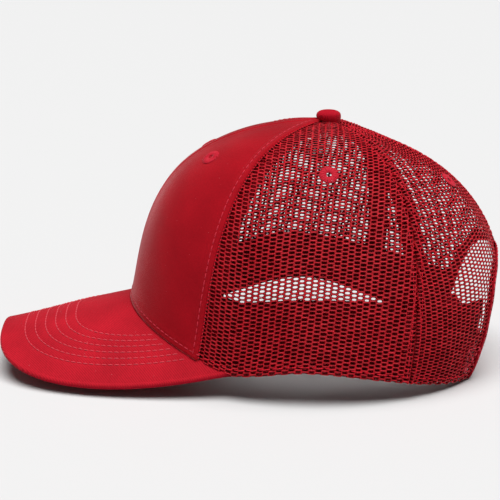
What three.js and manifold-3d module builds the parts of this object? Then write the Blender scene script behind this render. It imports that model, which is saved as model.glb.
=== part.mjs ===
// A six-panel trucker cap: two stiffened twill front panels, four net panels, a curved visor
// sewn from a board and two covers, and a two-piece snap strap across the back opening.
// Millimetres. The front of the cap points along -Y, the wearer's left is +X and Z is up.
import * as THREE from 'three';
import loadManifold from 'manifold-3d';
import { mergeVertices } from 'three/addons/utils/BufferGeometryUtils.js';

const wasm = await loadManifold();
wasm.setup();

const rad = THREE.MathUtils.degToRad;
const lerp = THREE.MathUtils.lerp;

// Head opening, seen from above: a superellipse about the crown's centre.
const HALF_WIDTH = 84.5;
const FRONT_LENGTH = 105;
const BACK_LENGTH = 91;
const OPENING_POWER = 2.05;

// Crown heights above the surface that the cap stands on, and where its top lies.
const TOP_HEIGHT = 132;
const TOP_SHIFT = 3.2;
const SIDE_RIM_HEIGHT = 17.2;
const BACK_RIM_HEIGHT = 0;
const SIDE_RIM_ANGLE = rad(79);
const BACK_RIM_ANGLE = rad(155);

// Inner control points of each meridian curve: radius and height as shares of the whole.
const FRONT_CURVE = [[0.93, 0.256], [0.955, 0.8], [0.58, 0.98]];
const SIDE_CURVE = [[0.912, 0.297], [0.858, 0.804], [0.525, 0.988]];
const BACK_CURVE = [[1.325, 0.374], [0.99, 0.9], [0.31, 0.915]];

// Seams, as angles from the front at the rim and at the top.
const FRONT_SIDE_SEAM = [rad(44), rad(47)];
const SIDE_BACK_SEAM = [rad(117), rad(132)];
const TOP_HOLE_RADIUS = 3.4;
const SEAM_GAP = 0.2;

// Layers of the crown, as depths below its outer surface.
const PANEL = [0, 1];
const STIFFENER = [1.3, 1.9];
const TAPE = [2.5, 3.1];
const NET_TAPE = [1.3, 1.9];
const PAD = [3.4, 4.3];
const SWEATBAND = [4.6, 5.8];
const TAPE_WIDTH = 12;
const TAPE_TOP_RADIUS = 18;
const SWEATBAND_WIDTH = 34;
const SWEATBAND_END = rad(140);
const PAD_WIDTH = 30;
const PAD_END = rad(38);

// Visor: an arched sheet that slopes down to the front.
const VISOR_LENGTH = 71;
const VISOR_HALF_WIDTH = 72.5;
const VISOR_CORNER_Y = -52;
const VISOR_CORNER_ANGLE = rad(54);
const VISOR_ROOT_HEIGHT = 33.6;
const VISOR_SLOPE = 0.205;
const VISOR_ARCH_RADIUS = 102;
const VISOR_SIDE_POWER = 0.58;
const VISOR_TIP_POWER = 0.87;
const VISOR_TUCK = 3;
const VISOR_DROP = 1.4;
const COVER_THICKNESS = 0.6;
const BOARD_THICKNESS = 1.5;
const BOARD_INSET = 2.2;
const LAYER_GAP = 0.3;

// Back opening: a superelliptic arch with a folded tape bound over its edge.
const ARCH_HALF_WIDTH = 46;
const ARCH_HEIGHT = 62;
const ARCH_POWER = 2.7;
const BINDING_WIDTH = 4.5;
const BINDING = [-0.6, 1.5];

// Snap strap: two plastic bands, one with holes outside and one with pegs inside.
const STRAP_THICKNESS = 1.2;
const STRAP_WIDTH = 17;
const STRAP_ROOT_X = 42.2;
const STRAP_TIP_X = 30;
const STRAP_Y = 82.9;
const STRAP_Z = 12;
const STRAP_LEAN = rad(21);
const SNAP_COUNT = 7;
const SNAP_PITCH = 9.5;
const SNAP_FIRST_X = 23.75;
const PEG_RADIUS = 2.1;
const PEG_HEIGHT = 2.1;
const HOLE_RADIUS = 2.6;
const TAB_START = 44;
const TAB_END = 57;
const HOLE_TAB = [1.8, 3];
const PEG_TAB = [3.4, 4.6];
const TAB_HEIGHTS = [3.5, 20.5];

// Button and eyelets.
const BUTTON_RADIUS = 6.8;
const BUTTON_HEIGHT = 5.2;
const RIVET_RADIUS = 1.8;
const RIVET_HEAD_RADIUS = 6;
const EYELET_RADIUS = 5.2;
const EYELET_HOLE = 1.6;
const EYELET_TOP = 0.5;
const EYELET_SHARES = { front: [0.38, 0.652], side: [0.505, 0.635], back: [0.71, 0.555] };

// The cap is moved so that the middle of its box stands over the origin.
const CAP_SHIFT = [0, 39.13, -0.04];

const cap = new THREE.Group();
cap.position.set(...CAP_SHIFT);

const FINISHES = {
  twill: { color: 0xb01226, roughness: 0.85 },
  net: { color: 0xb51c30, roughness: 0.6 },
  tape: { color: 0xa3121f, roughness: 0.9 },
  stiffener: { color: 0xe6e2da, roughness: 0.9 },
  foam: { color: 0xd8d4cc, roughness: 1 },
  board: { color: 0x2a2a2c, roughness: 0.6 },
  thread: { color: 0xb3182b, roughness: 0.7 },
  strap: { color: 0xa8142a, roughness: 0.4 },
  metal: { color: 0xb8b8bc, roughness: 0.35, metalness: 1 },
};

function addPart(name, geometry, finish) {
  geometry.computeVertexNormals();
  const mesh = new THREE.Mesh(geometry, new THREE.MeshStandardMaterial(FINISHES[finish]));
  mesh.name = name;
  cap.add(mesh);
}

// ---- the crown's surface ----

function rimRadius(angle) {
  const length = Math.cos(angle) > 0 ? FRONT_LENGTH : BACK_LENGTH;
  const across = Math.abs(Math.sin(angle)) / HALF_WIDTH;
  const along = Math.abs(Math.cos(angle)) / length;
  return (across ** OPENING_POWER + along ** OPENING_POWER) ** (-1 / OPENING_POWER);
}

function visorHeight(x, y) {
  const drop = VISOR_ARCH_RADIUS - Math.sqrt(VISOR_ARCH_RADIUS ** 2 - x ** 2);
  return VISOR_ROOT_HEIGHT + VISOR_SLOPE * (y + FRONT_LENGTH) - drop;
}

function visorRimHeight(angle) {
  const radius = rimRadius(angle);
  return visorHeight(radius * Math.sin(angle), -radius * Math.cos(angle));
}

function smooth(t) {
  const s = THREE.MathUtils.clamp(t, 0, 1);
  return s * s * (3 - 2 * s);
}

// The rim follows the visor in front, then the side, and dips to the back.
function rimHeight(angle) {
  const around = Math.abs(Math.atan2(Math.sin(angle), Math.cos(angle)));
  if (around < VISOR_CORNER_ANGLE) return visorRimHeight(around);
  const corner = visorRimHeight(VISOR_CORNER_ANGLE);
  if (around < SIDE_RIM_ANGLE) {
    const side = smooth((around - VISOR_CORNER_ANGLE) / (SIDE_RIM_ANGLE - VISOR_CORNER_ANGLE));
    return lerp(corner, SIDE_RIM_HEIGHT, side);
  }
  const back = smooth((around - SIDE_RIM_ANGLE) / (BACK_RIM_ANGLE - SIDE_RIM_ANGLE));
  return lerp(SIDE_RIM_HEIGHT, BACK_RIM_HEIGHT, back);
}

// A point of the crown's outer surface: u is 0 at the rim and 1 at the top.
function crownPoint(angle, u) {
  const c = Math.cos(angle);
  const front = Math.max(c, 0) ** 2;
  const back = Math.max(-c, 0) ** 2;
  const side = Math.sin(angle) ** 2;
  const v = 1 - u;
  const weights = [4 * u * v ** 3, 6 * u ** 2 * v ** 2, 4 * u ** 3 * v];
  let radial = v ** 4;
  let height = u ** 4;
  weights.forEach((weight, i) => {
    radial += weight * (front * FRONT_CURVE[i][0] + side * SIDE_CURVE[i][0] + back * BACK_CURVE[i][0]);
    height += weight * (front * FRONT_CURVE[i][1] + side * SIDE_CURVE[i][1] + back * BACK_CURVE[i][1]);
  });
  const radius = rimRadius(angle) * radial;
  const rim = rimHeight(angle);
  return new THREE.Vector3(
    radius * Math.sin(angle),
    -radius * c + TOP_SHIFT * (1 - radial),
    rim + (TOP_HEIGHT - rim) * height,
  );
}

function crownNormal(angle, u) {
  const step = 0.002;
  const around = crownPoint(angle + step, u).sub(crownPoint(angle - step, u));
  const up = crownPoint(angle, Math.min(u + step, 1)).sub(crownPoint(angle, Math.max(u - step, 0)));
  return around.cross(up).normalize();
}

function planRadius(angle, u) {
  const point = crownPoint(angle, u);
  return Math.hypot(point.x, point.y - TOP_SHIFT);
}

// The share u at a given length of cloth above the rim.
function shareAtLength(angle, length) {
  const step = 0.004;
  let travelled = 0;
  let u = 0;
  while (travelled < length && u < 1) {
    travelled += crownPoint(angle, u).distanceTo(crownPoint(angle, u + step));
    u += step;
  }
  return u;
}

// The share u where the crown closes to a given radius about its top.
function shareAtRadius(angle, radius) {
  let u = 0.7;
  while (planRadius(angle, u) > radius && u < 1) u += 0.002;
  return u;
}

function seamAngle(seam, u) {
  return lerp(seam[0], seam[1], u);
}

// ---- closed sheets ----

// A closed body between two grids of points: outer(i, j) and inner(i, j).
function closedSheet(columns, rows, outer, inner) {
  const positions = [];
  for (const grid of [outer, inner]) {
    for (let j = 0; j <= rows; j += 1) {
      for (let i = 0; i <= columns; i += 1) positions.push(...grid(i / columns, j / rows).toArray());
    }
  }
  const count = (columns + 1) * (rows + 1);
  const at = (side, i, j) => side * count + j * (columns + 1) + i;
  const index = [];
  const quad = (a, b, c, d) => index.push(a, b, c, a, c, d);
  for (let j = 0; j < rows; j += 1) {
    for (let i = 0; i < columns; i += 1) {
      quad(at(0, i, j), at(0, i + 1, j), at(0, i + 1, j + 1), at(0, i, j + 1));
      quad(at(1, i, j), at(1, i, j + 1), at(1, i + 1, j + 1), at(1, i + 1, j));
    }
  }
  for (let i = 0; i < columns; i += 1) {
    quad(at(0, i + 1, 0), at(0, i, 0), at(1, i, 0), at(1, i + 1, 0));
    quad(at(0, i, rows), at(0, i + 1, rows), at(1, i + 1, rows), at(1, i, rows));
  }
  for (let j = 0; j < rows; j += 1) {
    quad(at(0, 0, j), at(0, 0, j + 1), at(1, 0, j + 1), at(1, 0, j));
    quad(at(0, columns, j + 1), at(0, columns, j), at(1, columns, j), at(1, columns, j + 1));
  }
  const geometry = new THREE.BufferGeometry();
  geometry.setAttribute('position', new THREE.Float32BufferAttribute(positions, 3));
  geometry.setIndex(index);
  return geometry;
}

// A piece of the crown between two side lines, left(u) and right(u), and two shares of each
// meridian, bottom(angle) and top(angle). inset moves both side lines inwards by a length.
function crownPiece({ left, right, bottom, top, depth, columns, rows, inset = 0 }) {
  const layer = (distance) => (s, t) => {
    let angle = lerp(left(0), right(0), s);
    let u = lerp(bottom(angle), top(angle), t);
    for (let pass = 0; pass < 4; pass += 1) {
      const margin = inset / Math.max(planRadius(angle, u), 1);
      angle = lerp(left(u) + margin, right(u) - margin, s);
      u = lerp(bottom(angle), top(angle), t);
    }
    return crownPoint(angle, u).addScaledVector(crownNormal(angle, u), -distance);
  };
  return closedSheet(columns, rows, layer(depth[0]), layer(depth[1]));
}

function mirrored(geometry) {
  const copy = geometry.clone();
  copy.scale(-1, 1, 1);
  const index = copy.getIndex();
  for (let i = 0; i < index.count; i += 3) {
    const first = index.getX(i);
    index.setX(i, index.getX(i + 1));
    index.setX(i + 1, first);
  }
  return copy;
}

function addPair(name, geometry, finish) {
  addPart(`${name}_left`, geometry, finish);
  addPart(`${name}_right`, mirrored(geometry), finish);
}

// ---- cutting ----

function toSolid(geometry) {
  const plain = geometry.clone();
  for (const attribute of Object.keys(plain.attributes)) {
    if (attribute !== 'position') plain.deleteAttribute(attribute);
  }
  const merged = mergeVertices(plain);
  return new wasm.Manifold(new wasm.Mesh({
    numProp: 3,
    vertProperties: new Float32Array(merged.attributes.position.array),
    triVerts: new Uint32Array(merged.index.array),
  }));
}

function toGeometry(solid) {
  const mesh = solid.getMesh();
  const geometry = new THREE.BufferGeometry();
  geometry.setAttribute('position', new THREE.BufferAttribute(new Float32Array(mesh.vertProperties), 3));
  geometry.setIndex(Array.from(mesh.triVerts));
  return geometry;
}

// A prism along Y whose outline is the back arch, grown by a margin and open below the rim.
function archPrism(margin) {
  const steps = 28;
  const below = BACK_RIM_HEIGHT - 30;
  const outline = new THREE.Shape();
  outline.moveTo(ARCH_HALF_WIDTH + margin, below);
  for (let i = 0; i <= steps; i += 1) {
    const turn = (Math.PI * i) / steps;
    const c = Math.cos(turn);
    const x = (ARCH_HALF_WIDTH + margin) * Math.sign(c) * Math.abs(c) ** (2 / ARCH_POWER);
    const z = (ARCH_HEIGHT + margin) * Math.sin(turn) ** (2 / ARCH_POWER);
    outline.lineTo(x, BACK_RIM_HEIGHT + z);
  }
  outline.lineTo(-ARCH_HALF_WIDTH - margin, below);
  const prism = new THREE.ExtrudeGeometry(outline, { depth: 100, bevelEnabled: false });
  prism.rotateX(Math.PI / 2);
  prism.translate(0, 140, 0);
  return toSolid(prism);
}

// ---- panels ----

function eyeletPlace(left, right, share) {
  const u = share[1];
  const angle = lerp(left(u), right(u), share[0]);
  return { point: crownPoint(angle, u), normal: crownNormal(angle, u) };
}

function placed(geometry, place) {
  const turn = new THREE.Quaternion().setFromUnitVectors(new THREE.Vector3(0, 0, 1), place.normal);
  geometry.applyQuaternion(turn);
  geometry.translate(place.point.x, place.point.y, place.point.z);
  return geometry;
}

function eyeletDrill(place) {
  const drill = new THREE.CylinderGeometry(EYELET_RADIUS + LAYER_GAP, EYELET_RADIUS + LAYER_GAP, 8, 20);
  drill.rotateX(Math.PI / 2);
  return toSolid(placed(drill, place));
}

function eyeletRing(place) {
  const low = -PANEL[1] - 0.1;
  const shoulder = 0.6;
  const profile = [
    [EYELET_HOLE, low],
    [EYELET_RADIUS, low],
    [EYELET_RADIUS, EYELET_TOP - shoulder / 2],
    [EYELET_RADIUS - shoulder, EYELET_TOP],
    [EYELET_HOLE + shoulder, EYELET_TOP],
    [EYELET_HOLE, EYELET_TOP - shoulder / 2],
    [EYELET_HOLE, low],
  ].map(([x, y]) => new THREE.Vector2(x, y));
  const ring = new THREE.LatheGeometry(profile, 20);
  ring.rotateX(Math.PI / 2);
  return mergeVertices(stripped(placed(ring, place)));
}

function stripped(geometry) {
  geometry.deleteAttribute('normal');
  geometry.deleteAttribute('uv');
  return geometry;
}

function addPanels() {
  const frontLine = () => 0;
  const frontSide = (u) => seamAngle(FRONT_SIDE_SEAM, u);
  const sideBack = (u) => seamAngle(SIDE_BACK_SEAM, u);
  const backLine = () => Math.PI;
  const panels = [
    ['front_panel', 'front', frontLine, frontSide, 12, 'twill'],
    ['side_net', 'side', frontSide, sideBack, 14, 'net'],
    ['back_net', 'back', sideBack, backLine, 14, 'net'],
  ];
  for (const [name, where, left, right, columns, finish] of panels) {
    const sheet = crownPiece({
      left,
      right,
      bottom: () => 0,
      top: (angle) => shareAtRadius(angle, TOP_HOLE_RADIUS),
      depth: PANEL,
      columns,
      rows: 14,
      inset: SEAM_GAP,
    });
    const place = eyeletPlace(left, right, EYELET_SHARES[where]);
    let solid = toSolid(sheet).subtract(eyeletDrill(place));
    if (where === 'back') solid = solid.subtract(archPrism(BINDING_WIDTH + LAYER_GAP));
    addPair(name, toGeometry(solid), finish);
    addPair(`${where}_eyelet`, eyeletRing(place), 'thread');
  }
}

// ---- inside the crown ----

function addStiffeners() {
  const piece = crownPiece({
    left: () => 0,
    right: (u) => seamAngle(FRONT_SIDE_SEAM, u),
    bottom: (angle) => shareAtLength(angle, 3),
    top: (angle) => shareAtRadius(angle, TAPE_TOP_RADIUS + 6),
    depth: STIFFENER,
    columns: 8,
    rows: 10,
    inset: SEAM_GAP,
  });
  addPair('stiffener', piece, 'stiffener');
}

// A tape sewn over a seam: its edges run half its width to each side of the seam.
function seamTape(seam, depth, bottom) {
  const half = (u, angle) => TAPE_WIDTH / 2 / planRadius(angle, u);
  return crownPiece({
    left: (u) => seam(u) - half(u, seam(u)),
    right: (u) => seam(u) + half(u, seam(u)),
    bottom,
    top: (angle) => shareAtRadius(angle, TAPE_TOP_RADIUS),
    depth,
    columns: 2,
    rows: 14,
  });
}

function addTapes() {
  const lowEdge = (angle) => shareAtLength(angle, 3);
  addPart('front_seam_tape', seamTape(() => 0, TAPE, lowEdge), 'tape');
  const frontSide = (u) => seamAngle(FRONT_SIDE_SEAM, u);
  addPair('front_side_tape', seamTape(frontSide, TAPE, lowEdge), 'tape');
  const sideBack = (u) => seamAngle(SIDE_BACK_SEAM, u);
  addPair('side_back_tape', seamTape(sideBack, NET_TAPE, lowEdge), 'tape');
  const aboveArch = (angle) => shareAtLength(angle, ARCH_HEIGHT + BINDING_WIDTH + 6);
  addPart('back_seam_tape', seamTape(() => Math.PI, NET_TAPE, aboveArch), 'tape');
}

function addSweatband() {
  const band = crownPiece({
    left: () => -SWEATBAND_END,
    right: () => SWEATBAND_END,
    bottom: (angle) => shareAtLength(angle, 1.5),
    top: (angle) => shareAtLength(angle, SWEATBAND_WIDTH),
    depth: SWEATBAND,
    columns: 56,
    rows: 3,
  });
  addPart('sweatband', band, 'tape');
  const pad = crownPiece({
    left: () => -PAD_END,
    right: () => PAD_END,
    bottom: (angle) => shareAtLength(angle, 4),
    top: (angle) => shareAtLength(angle, PAD_WIDTH),
    depth: PAD,
    columns: 18,
    rows: 3,
  });
  addPart('forehead_pad', pad, 'foam');
}

// ---- the visor ----

// A sheet between the head opening and the visor's edge. inset is kept from the visor's edge.
function visorSheet(top, bottom, inset) {
  const frontReach = FRONT_LENGTH + VISOR_LENGTH + VISOR_CORNER_Y;
  const layer = (depth) => (s, t) => {
    const across = 2 * s - 1;
    const share = Math.abs(across);
    const angle = VISOR_CORNER_ANGLE * share;
    const root = rimRadius(angle) - VISOR_TUCK;
    const turn = (Math.PI / 2) * share ** (1 / VISOR_SIDE_POWER);
    const edgeX = (VISOR_HALF_WIDTH - inset) * Math.sin(turn) ** VISOR_SIDE_POWER;
    const edgeY = VISOR_CORNER_Y - (frontReach - inset) * Math.max(Math.cos(turn), 0) ** VISOR_TIP_POWER;
    const x = lerp(root * Math.sin(angle), edgeX, t);
    const y = lerp(-root * Math.cos(angle), edgeY, t);
    return new THREE.Vector3(-Math.sign(across) * x, y, visorHeight(x, y) - VISOR_DROP - depth);
  };
  return closedSheet(36, 8, layer(top), layer(bottom));
}

function addVisor() {
  const boardTop = COVER_THICKNESS + LAYER_GAP;
  const boardBottom = boardTop + BOARD_THICKNESS;
  const underTop = boardBottom + LAYER_GAP;
  addPart('visor_top_cover', visorSheet(0, COVER_THICKNESS, 0), 'twill');
  addPart('visor_board', visorSheet(boardTop, boardBottom, BOARD_INSET), 'board');
  addPart('visor_under_cover', visorSheet(underTop, underTop + COVER_THICKNESS, 0), 'twill');
}

// ---- the back opening and its strap ----

function addArchBinding() {
  const around = crownPiece({
    left: () => rad(180 - 46),
    right: () => rad(180 + 46),
    bottom: () => 0,
    top: () => 0.62,
    depth: BINDING,
    columns: 36,
    rows: 14,
  });
  const ring = toSolid(around).intersect(archPrism(BINDING_WIDTH)).subtract(archPrism(0));
  addPart('arch_binding', toGeometry(ring), 'tape');
}

// A flat band lying in X and Y, which is then stood up and leaned like the crown's back.
function strapOutline() {
  const half = STRAP_WIDTH / 2;
  const outline = new THREE.Shape();
  outline.moveTo(-STRAP_ROOT_X, -half);
  outline.lineTo(STRAP_TIP_X - half, -half);
  outline.absarc(STRAP_TIP_X - half, 0, half, -Math.PI / 2, Math.PI / 2, false);
  outline.lineTo(-STRAP_ROOT_X, half);
  return outline;
}

// Stands the band up, a given depth behind the outer one.
function standStrap(geometry, depth) {
  geometry.rotateX(Math.PI / 2 - STRAP_LEAN);
  geometry.translate(0, STRAP_Y - depth * Math.cos(STRAP_LEAN), STRAP_Z + depth * Math.sin(STRAP_LEAN));
  return geometry;
}

function snapPlace(number) {
  return SNAP_FIRST_X - SNAP_PITCH * number;
}

function addStraps() {
  const thick = { depth: STRAP_THICKNESS, bevelEnabled: false, curveSegments: 10 };
  const holeBand = strapOutline();
  for (let number = 0; number < SNAP_COUNT; number += 1) {
    const hole = new THREE.Path();
    hole.absarc(snapPlace(number), 0, HOLE_RADIUS, 0, 2 * Math.PI, true);
    holeBand.holes.push(hole);
  }
  const holes = stripped(new THREE.ExtrudeGeometry(holeBand, thick));
  addPart('hole_strap', mergeVertices(standStrap(holes, 0)), 'strap');

  let pegBand = toSolid(new THREE.ExtrudeGeometry(strapOutline(), thick));
  for (let number = 0; number < SNAP_COUNT; number += 1) {
    const length = STRAP_THICKNESS / 2 + PEG_HEIGHT;
    const peg = new THREE.CylinderGeometry(PEG_RADIUS, PEG_RADIUS, length, 16);
    peg.rotateX(Math.PI / 2);
    peg.translate(snapPlace(number), 0, STRAP_THICKNESS / 2 - length / 2);
    pegBand = pegBand.add(toSolid(peg));
  }
  const pegs = toGeometry(pegBand);
  pegs.rotateZ(Math.PI);
  addPart('peg_strap', standStrap(pegs, STRAP_THICKNESS + LAYER_GAP), 'strap');
}

// A tab is the root of a strap, sewn inside the corner of the arch.
function strapTab(depth) {
  const angleAt = (x) => Math.PI - Math.asin(x / rimRadius(rad(150)));
  return crownPiece({
    left: () => angleAt(TAB_END),
    right: () => angleAt(TAB_START),
    bottom: (angle) => shareAtLength(angle, TAB_HEIGHTS[0]),
    top: (angle) => shareAtLength(angle, TAB_HEIGHTS[1]),
    depth,
    columns: 4,
    rows: 4,
  });
}

function addTabs() {
  addPart('hole_strap_tab', mirrored(strapTab(HOLE_TAB)), 'strap');
  addPart('peg_strap_tab', strapTab(PEG_TAB), 'strap');
}

// ---- the button ----

function addButton() {
  const seat = TOP_HEIGHT + 0.6;
  const dome = [
    [0, seat],
    [BUTTON_RADIUS - 0.8, seat],
    [BUTTON_RADIUS, seat + 0.8],
    [BUTTON_RADIUS, seat + BUTTON_HEIGHT * 0.45],
    [BUTTON_RADIUS * 0.86, seat + BUTTON_HEIGHT * 0.78],
    [BUTTON_RADIUS * 0.5, seat + BUTTON_HEIGHT * 0.96],
    [0, seat + BUTTON_HEIGHT],
  ];
  addPart('button_cap', turned(dome, 28), 'twill');
  const headTop = TOP_HEIGHT - 4.4;
  const rivet = [
    [0, headTop - 1],
    [RIVET_HEAD_RADIUS, headTop - 1],
    [RIVET_HEAD_RADIUS, headTop],
    [RIVET_RADIUS, headTop],
    [RIVET_RADIUS, seat - LAYER_GAP],
    [0, seat - LAYER_GAP],
  ];
  addPart('button_rivet', turned(rivet, 20), 'metal');
}

function turned(profile, segments) {
  const lathe = new THREE.LatheGeometry(profile.map(([x, y]) => new THREE.Vector2(x, y)), segments);
  lathe.rotateX(Math.PI / 2);
  lathe.translate(0, TOP_SHIFT, 0);
  return dropFlatTriangles(mergeVertices(stripped(lathe)));
}

// Where a profile meets the axis, a lathe leaves triangles with no area.
function dropFlatTriangles(geometry) {
  const kept = [];
  const index = geometry.index.array;
  for (let i = 0; i < index.length; i += 3) {
    const [a, b, c] = [index[i], index[i + 1], index[i + 2]];
    if (a !== b && b !== c && a !== c) kept.push(a, b, c);
  }
  geometry.setIndex(kept);
  return geometry;
}

addPanels();
addStiffeners();
addTapes();
addSweatband();
addVisor();
addArchBinding();
addStraps();
addTabs();
addButton();

export default cap;
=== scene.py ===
import math

import bpy
import numpy as np
from mathutils import Matrix, Vector


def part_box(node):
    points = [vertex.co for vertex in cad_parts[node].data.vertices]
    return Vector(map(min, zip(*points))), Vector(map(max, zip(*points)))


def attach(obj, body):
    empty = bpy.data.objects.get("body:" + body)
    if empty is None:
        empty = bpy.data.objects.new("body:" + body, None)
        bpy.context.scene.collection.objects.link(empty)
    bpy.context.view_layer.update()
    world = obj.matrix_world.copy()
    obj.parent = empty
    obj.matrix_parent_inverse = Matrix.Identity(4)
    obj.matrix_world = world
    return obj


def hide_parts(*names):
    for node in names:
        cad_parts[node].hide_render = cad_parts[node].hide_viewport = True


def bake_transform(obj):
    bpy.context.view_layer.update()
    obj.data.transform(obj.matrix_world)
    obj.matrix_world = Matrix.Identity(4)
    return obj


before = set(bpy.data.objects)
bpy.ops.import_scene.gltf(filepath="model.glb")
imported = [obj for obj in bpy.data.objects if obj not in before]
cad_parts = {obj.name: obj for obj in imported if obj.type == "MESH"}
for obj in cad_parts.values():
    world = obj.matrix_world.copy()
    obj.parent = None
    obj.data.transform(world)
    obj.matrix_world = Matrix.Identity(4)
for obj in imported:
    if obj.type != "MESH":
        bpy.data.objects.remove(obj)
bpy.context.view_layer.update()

# Red six-panel mesh cap. The maths below is in millimetres about the crown's own centre;
# a mesh is moved to the frame and turned into metres when it is made.

# camera, floor and light

cameraValues = {
    "azimuth": 87.0, "elevation": 15.2, "distance": 0.739, "roll": 0.31,
    "target": (0, 0.0002, 0.0592), "lens": 96.2, "sensor": 36,
}


def addCamera():
    a = math.radians(cameraValues["azimuth"])
    e = math.radians(cameraValues["elevation"])
    roll = math.radians(cameraValues["roll"])
    back = Vector((math.sin(a) * math.cos(e), -math.cos(a) * math.cos(e), math.sin(e)))
    level = Vector((0, 0, 1)).cross(back).normalized()
    upright = back.cross(level)
    right = level * math.cos(roll) + upright * math.sin(roll)
    up = upright * math.cos(roll) - level * math.sin(roll)
    place = Vector(cameraValues["target"]) + back * cameraValues["distance"]
    bpy.ops.object.camera_add()
    camera = bpy.context.object
    turn = Matrix((right, up, back)).transposed().to_4x4()
    camera.matrix_world = Matrix.Translation(place) @ turn
    camera.data.lens = cameraValues["lens"]
    camera.data.sensor_width = cameraValues["sensor"]
    bpy.context.scene.camera = camera


studioValues = {
    "floorSize": 30, "floorLevel": -0.0006, "floor": (0.64, 0.64, 0.64), "floorRoughness": 0.9,
    "floorSpecular": 0.1, "sky": 0.10, "overheadPlace": (0, 0, 1.2), "overhead": 4.15,
    "overheadSpread": 52, "overheadTilt": (7, -5),
}


def addStudio():
    level = (0, 0, studioValues["floorLevel"])
    bpy.ops.mesh.primitive_plane_add(size=studioValues["floorSize"], location=level)
    floor = bpy.context.object
    floor.name = "studioFloor"
    paint = bpy.data.materials.new("paleFloor")
    paint.use_nodes = True
    shader = paint.node_tree.nodes["Principled BSDF"]
    shader.inputs["Base Color"].default_value = (*studioValues["floor"], 1)
    shader.inputs["Roughness"].default_value = studioValues["floorRoughness"]
    shader.inputs["Specular IOR Level"].default_value = studioValues["floorSpecular"]
    floor.data.materials.append(paint)
    world = bpy.data.worlds.new("softSky")
    world.use_nodes = True
    sky = world.node_tree.nodes["Background"]
    sky.inputs["Color"].default_value = (1, 1, 1, 1)
    sky.inputs["Strength"].default_value = studioValues["sky"]
    bpy.context.scene.world = world
    bpy.ops.object.light_add(type="SUN", location=studioValues["overheadPlace"])
    overhead = bpy.context.object
    overhead.name = "overheadSoftbox"
    overhead.data.energy = studioValues["overhead"]
    overhead.data.angle = math.radians(studioValues["overheadSpread"])
    towardSide, towardFront = (math.radians(value) for value in studioValues["overheadTilt"])
    overhead.rotation_euler = (towardFront, towardSide, 0)
    bpy.context.scene.view_settings.view_transform = "Standard"


addCamera()
addStudio()
print("camera and studio ready")

# materials


surfaceValues = {
    "specular": 0.06, "netSpecular": 0.12, "sheenRoughness": 0.28, "centimetres": (100, 100, 100),
}


class Shader:
    # a small builder for one material's nodes; a pattern's sizes are in centimetres
    def __init__(self, name, roughness, coordinates="UV", sheen=0.0, metallic=0.0):
        self.material = bpy.data.materials.new(name)
        self.material.use_nodes = True
        self.tree = self.material.node_tree
        self.bsdf = self.tree.nodes["Principled BSDF"]
        self.bsdf.inputs["Roughness"].default_value = roughness
        self.bsdf.inputs["Metallic"].default_value = metallic
        self.bsdf.inputs["Specular IOR Level"].default_value = surfaceValues["specular"]
        self.bsdf.inputs["Sheen Weight"].default_value = sheen
        self.bsdf.inputs["Sheen Roughness"].default_value = surfaceValues["sheenRoughness"]
        self.place = self.tree.nodes.new("ShaderNodeTexCoord").outputs[coordinates]
        if coordinates == "Object":
            self.place = self.turned(0, surfaceValues["centimetres"])

    def node(self, kind, **values):
        made = self.tree.nodes.new(kind)
        for key, value in values.items():
            if hasattr(made, key):
                setattr(made, key, value)
            else:
                made.inputs[key.replace("_", " ")].default_value = value
        return made

    def join(self, output, target):
        self.tree.links.new(output, target)

    def turned(self, degrees, stretch=(1, 1, 1)):
        mapping = self.node("ShaderNodeMapping")
        mapping.inputs["Rotation"].default_value = (0, 0, math.radians(degrees))
        mapping.inputs["Scale"].default_value = stretch
        self.join(self.place, mapping.inputs["Vector"])
        return mapping.outputs["Vector"]

    def ribs(self, pitch, degrees, waver):
        # parallel yarns; a wave texture repeats every pi / 10 of its own unit
        wave = self.node("ShaderNodeTexWave", Scale=math.pi / 10 / pitch, Distortion=waver)
        wave.inputs["Detail Scale"].default_value = 2
        self.join(self.turned(degrees), wave.inputs["Vector"])
        return wave.outputs["Fac"]

    def noise(self, size, detail, stretch=(1, 1, 1)):
        cloud = self.node("ShaderNodeTexNoise", Scale=1 / size, Detail=detail)
        self.join(self.turned(0, stretch), cloud.inputs["Vector"])
        return cloud.outputs["Fac"]

    def maths(self, operation, first, second):
        made = self.node("ShaderNodeMath", operation=operation)
        for number, value in enumerate((first, second)):
            if isinstance(value, (int, float)):
                made.inputs[number].default_value = value
            else:
                self.join(value, made.inputs[number])
        return made.outputs[0]

    def ramp(self, factor, stops):
        made = self.node("ShaderNodeValToRGB")
        band = made.color_ramp
        while len(band.elements) < len(stops):
            band.elements.new(0.5)
        for element, (position, colour) in zip(band.elements, stops):
            element.position = position
            element.color = (*colour, 1)
        self.join(factor, made.inputs["Fac"])
        return made.outputs["Color"]

    def mixed(self, factor, first, second, blend="MIX"):
        made = self.node("ShaderNodeMix", data_type="RGBA", blend_type=blend)
        for value, target in ((factor, made.inputs[0]), (first, made.inputs[6]), (second, made.inputs[7])):
            if isinstance(value, (int, float)):
                target.default_value = value
            elif isinstance(value, tuple):
                target.default_value = (*value, 1)
            else:
                self.join(value, target)
        return made.outputs[2]

    def colour(self, output):
        self.join(output, self.bsdf.inputs["Base Color"])

    def bump(self, height, distance, strength):
        made = self.node("ShaderNodeBump", Strength=strength, Distance=distance)
        self.join(height, made.inputs["Height"])
        self.join(made.outputs["Normal"], self.bsdf.inputs["Normal"])


def shaded(colour, factor):
    return tuple(channel * factor for channel in colour)


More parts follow.
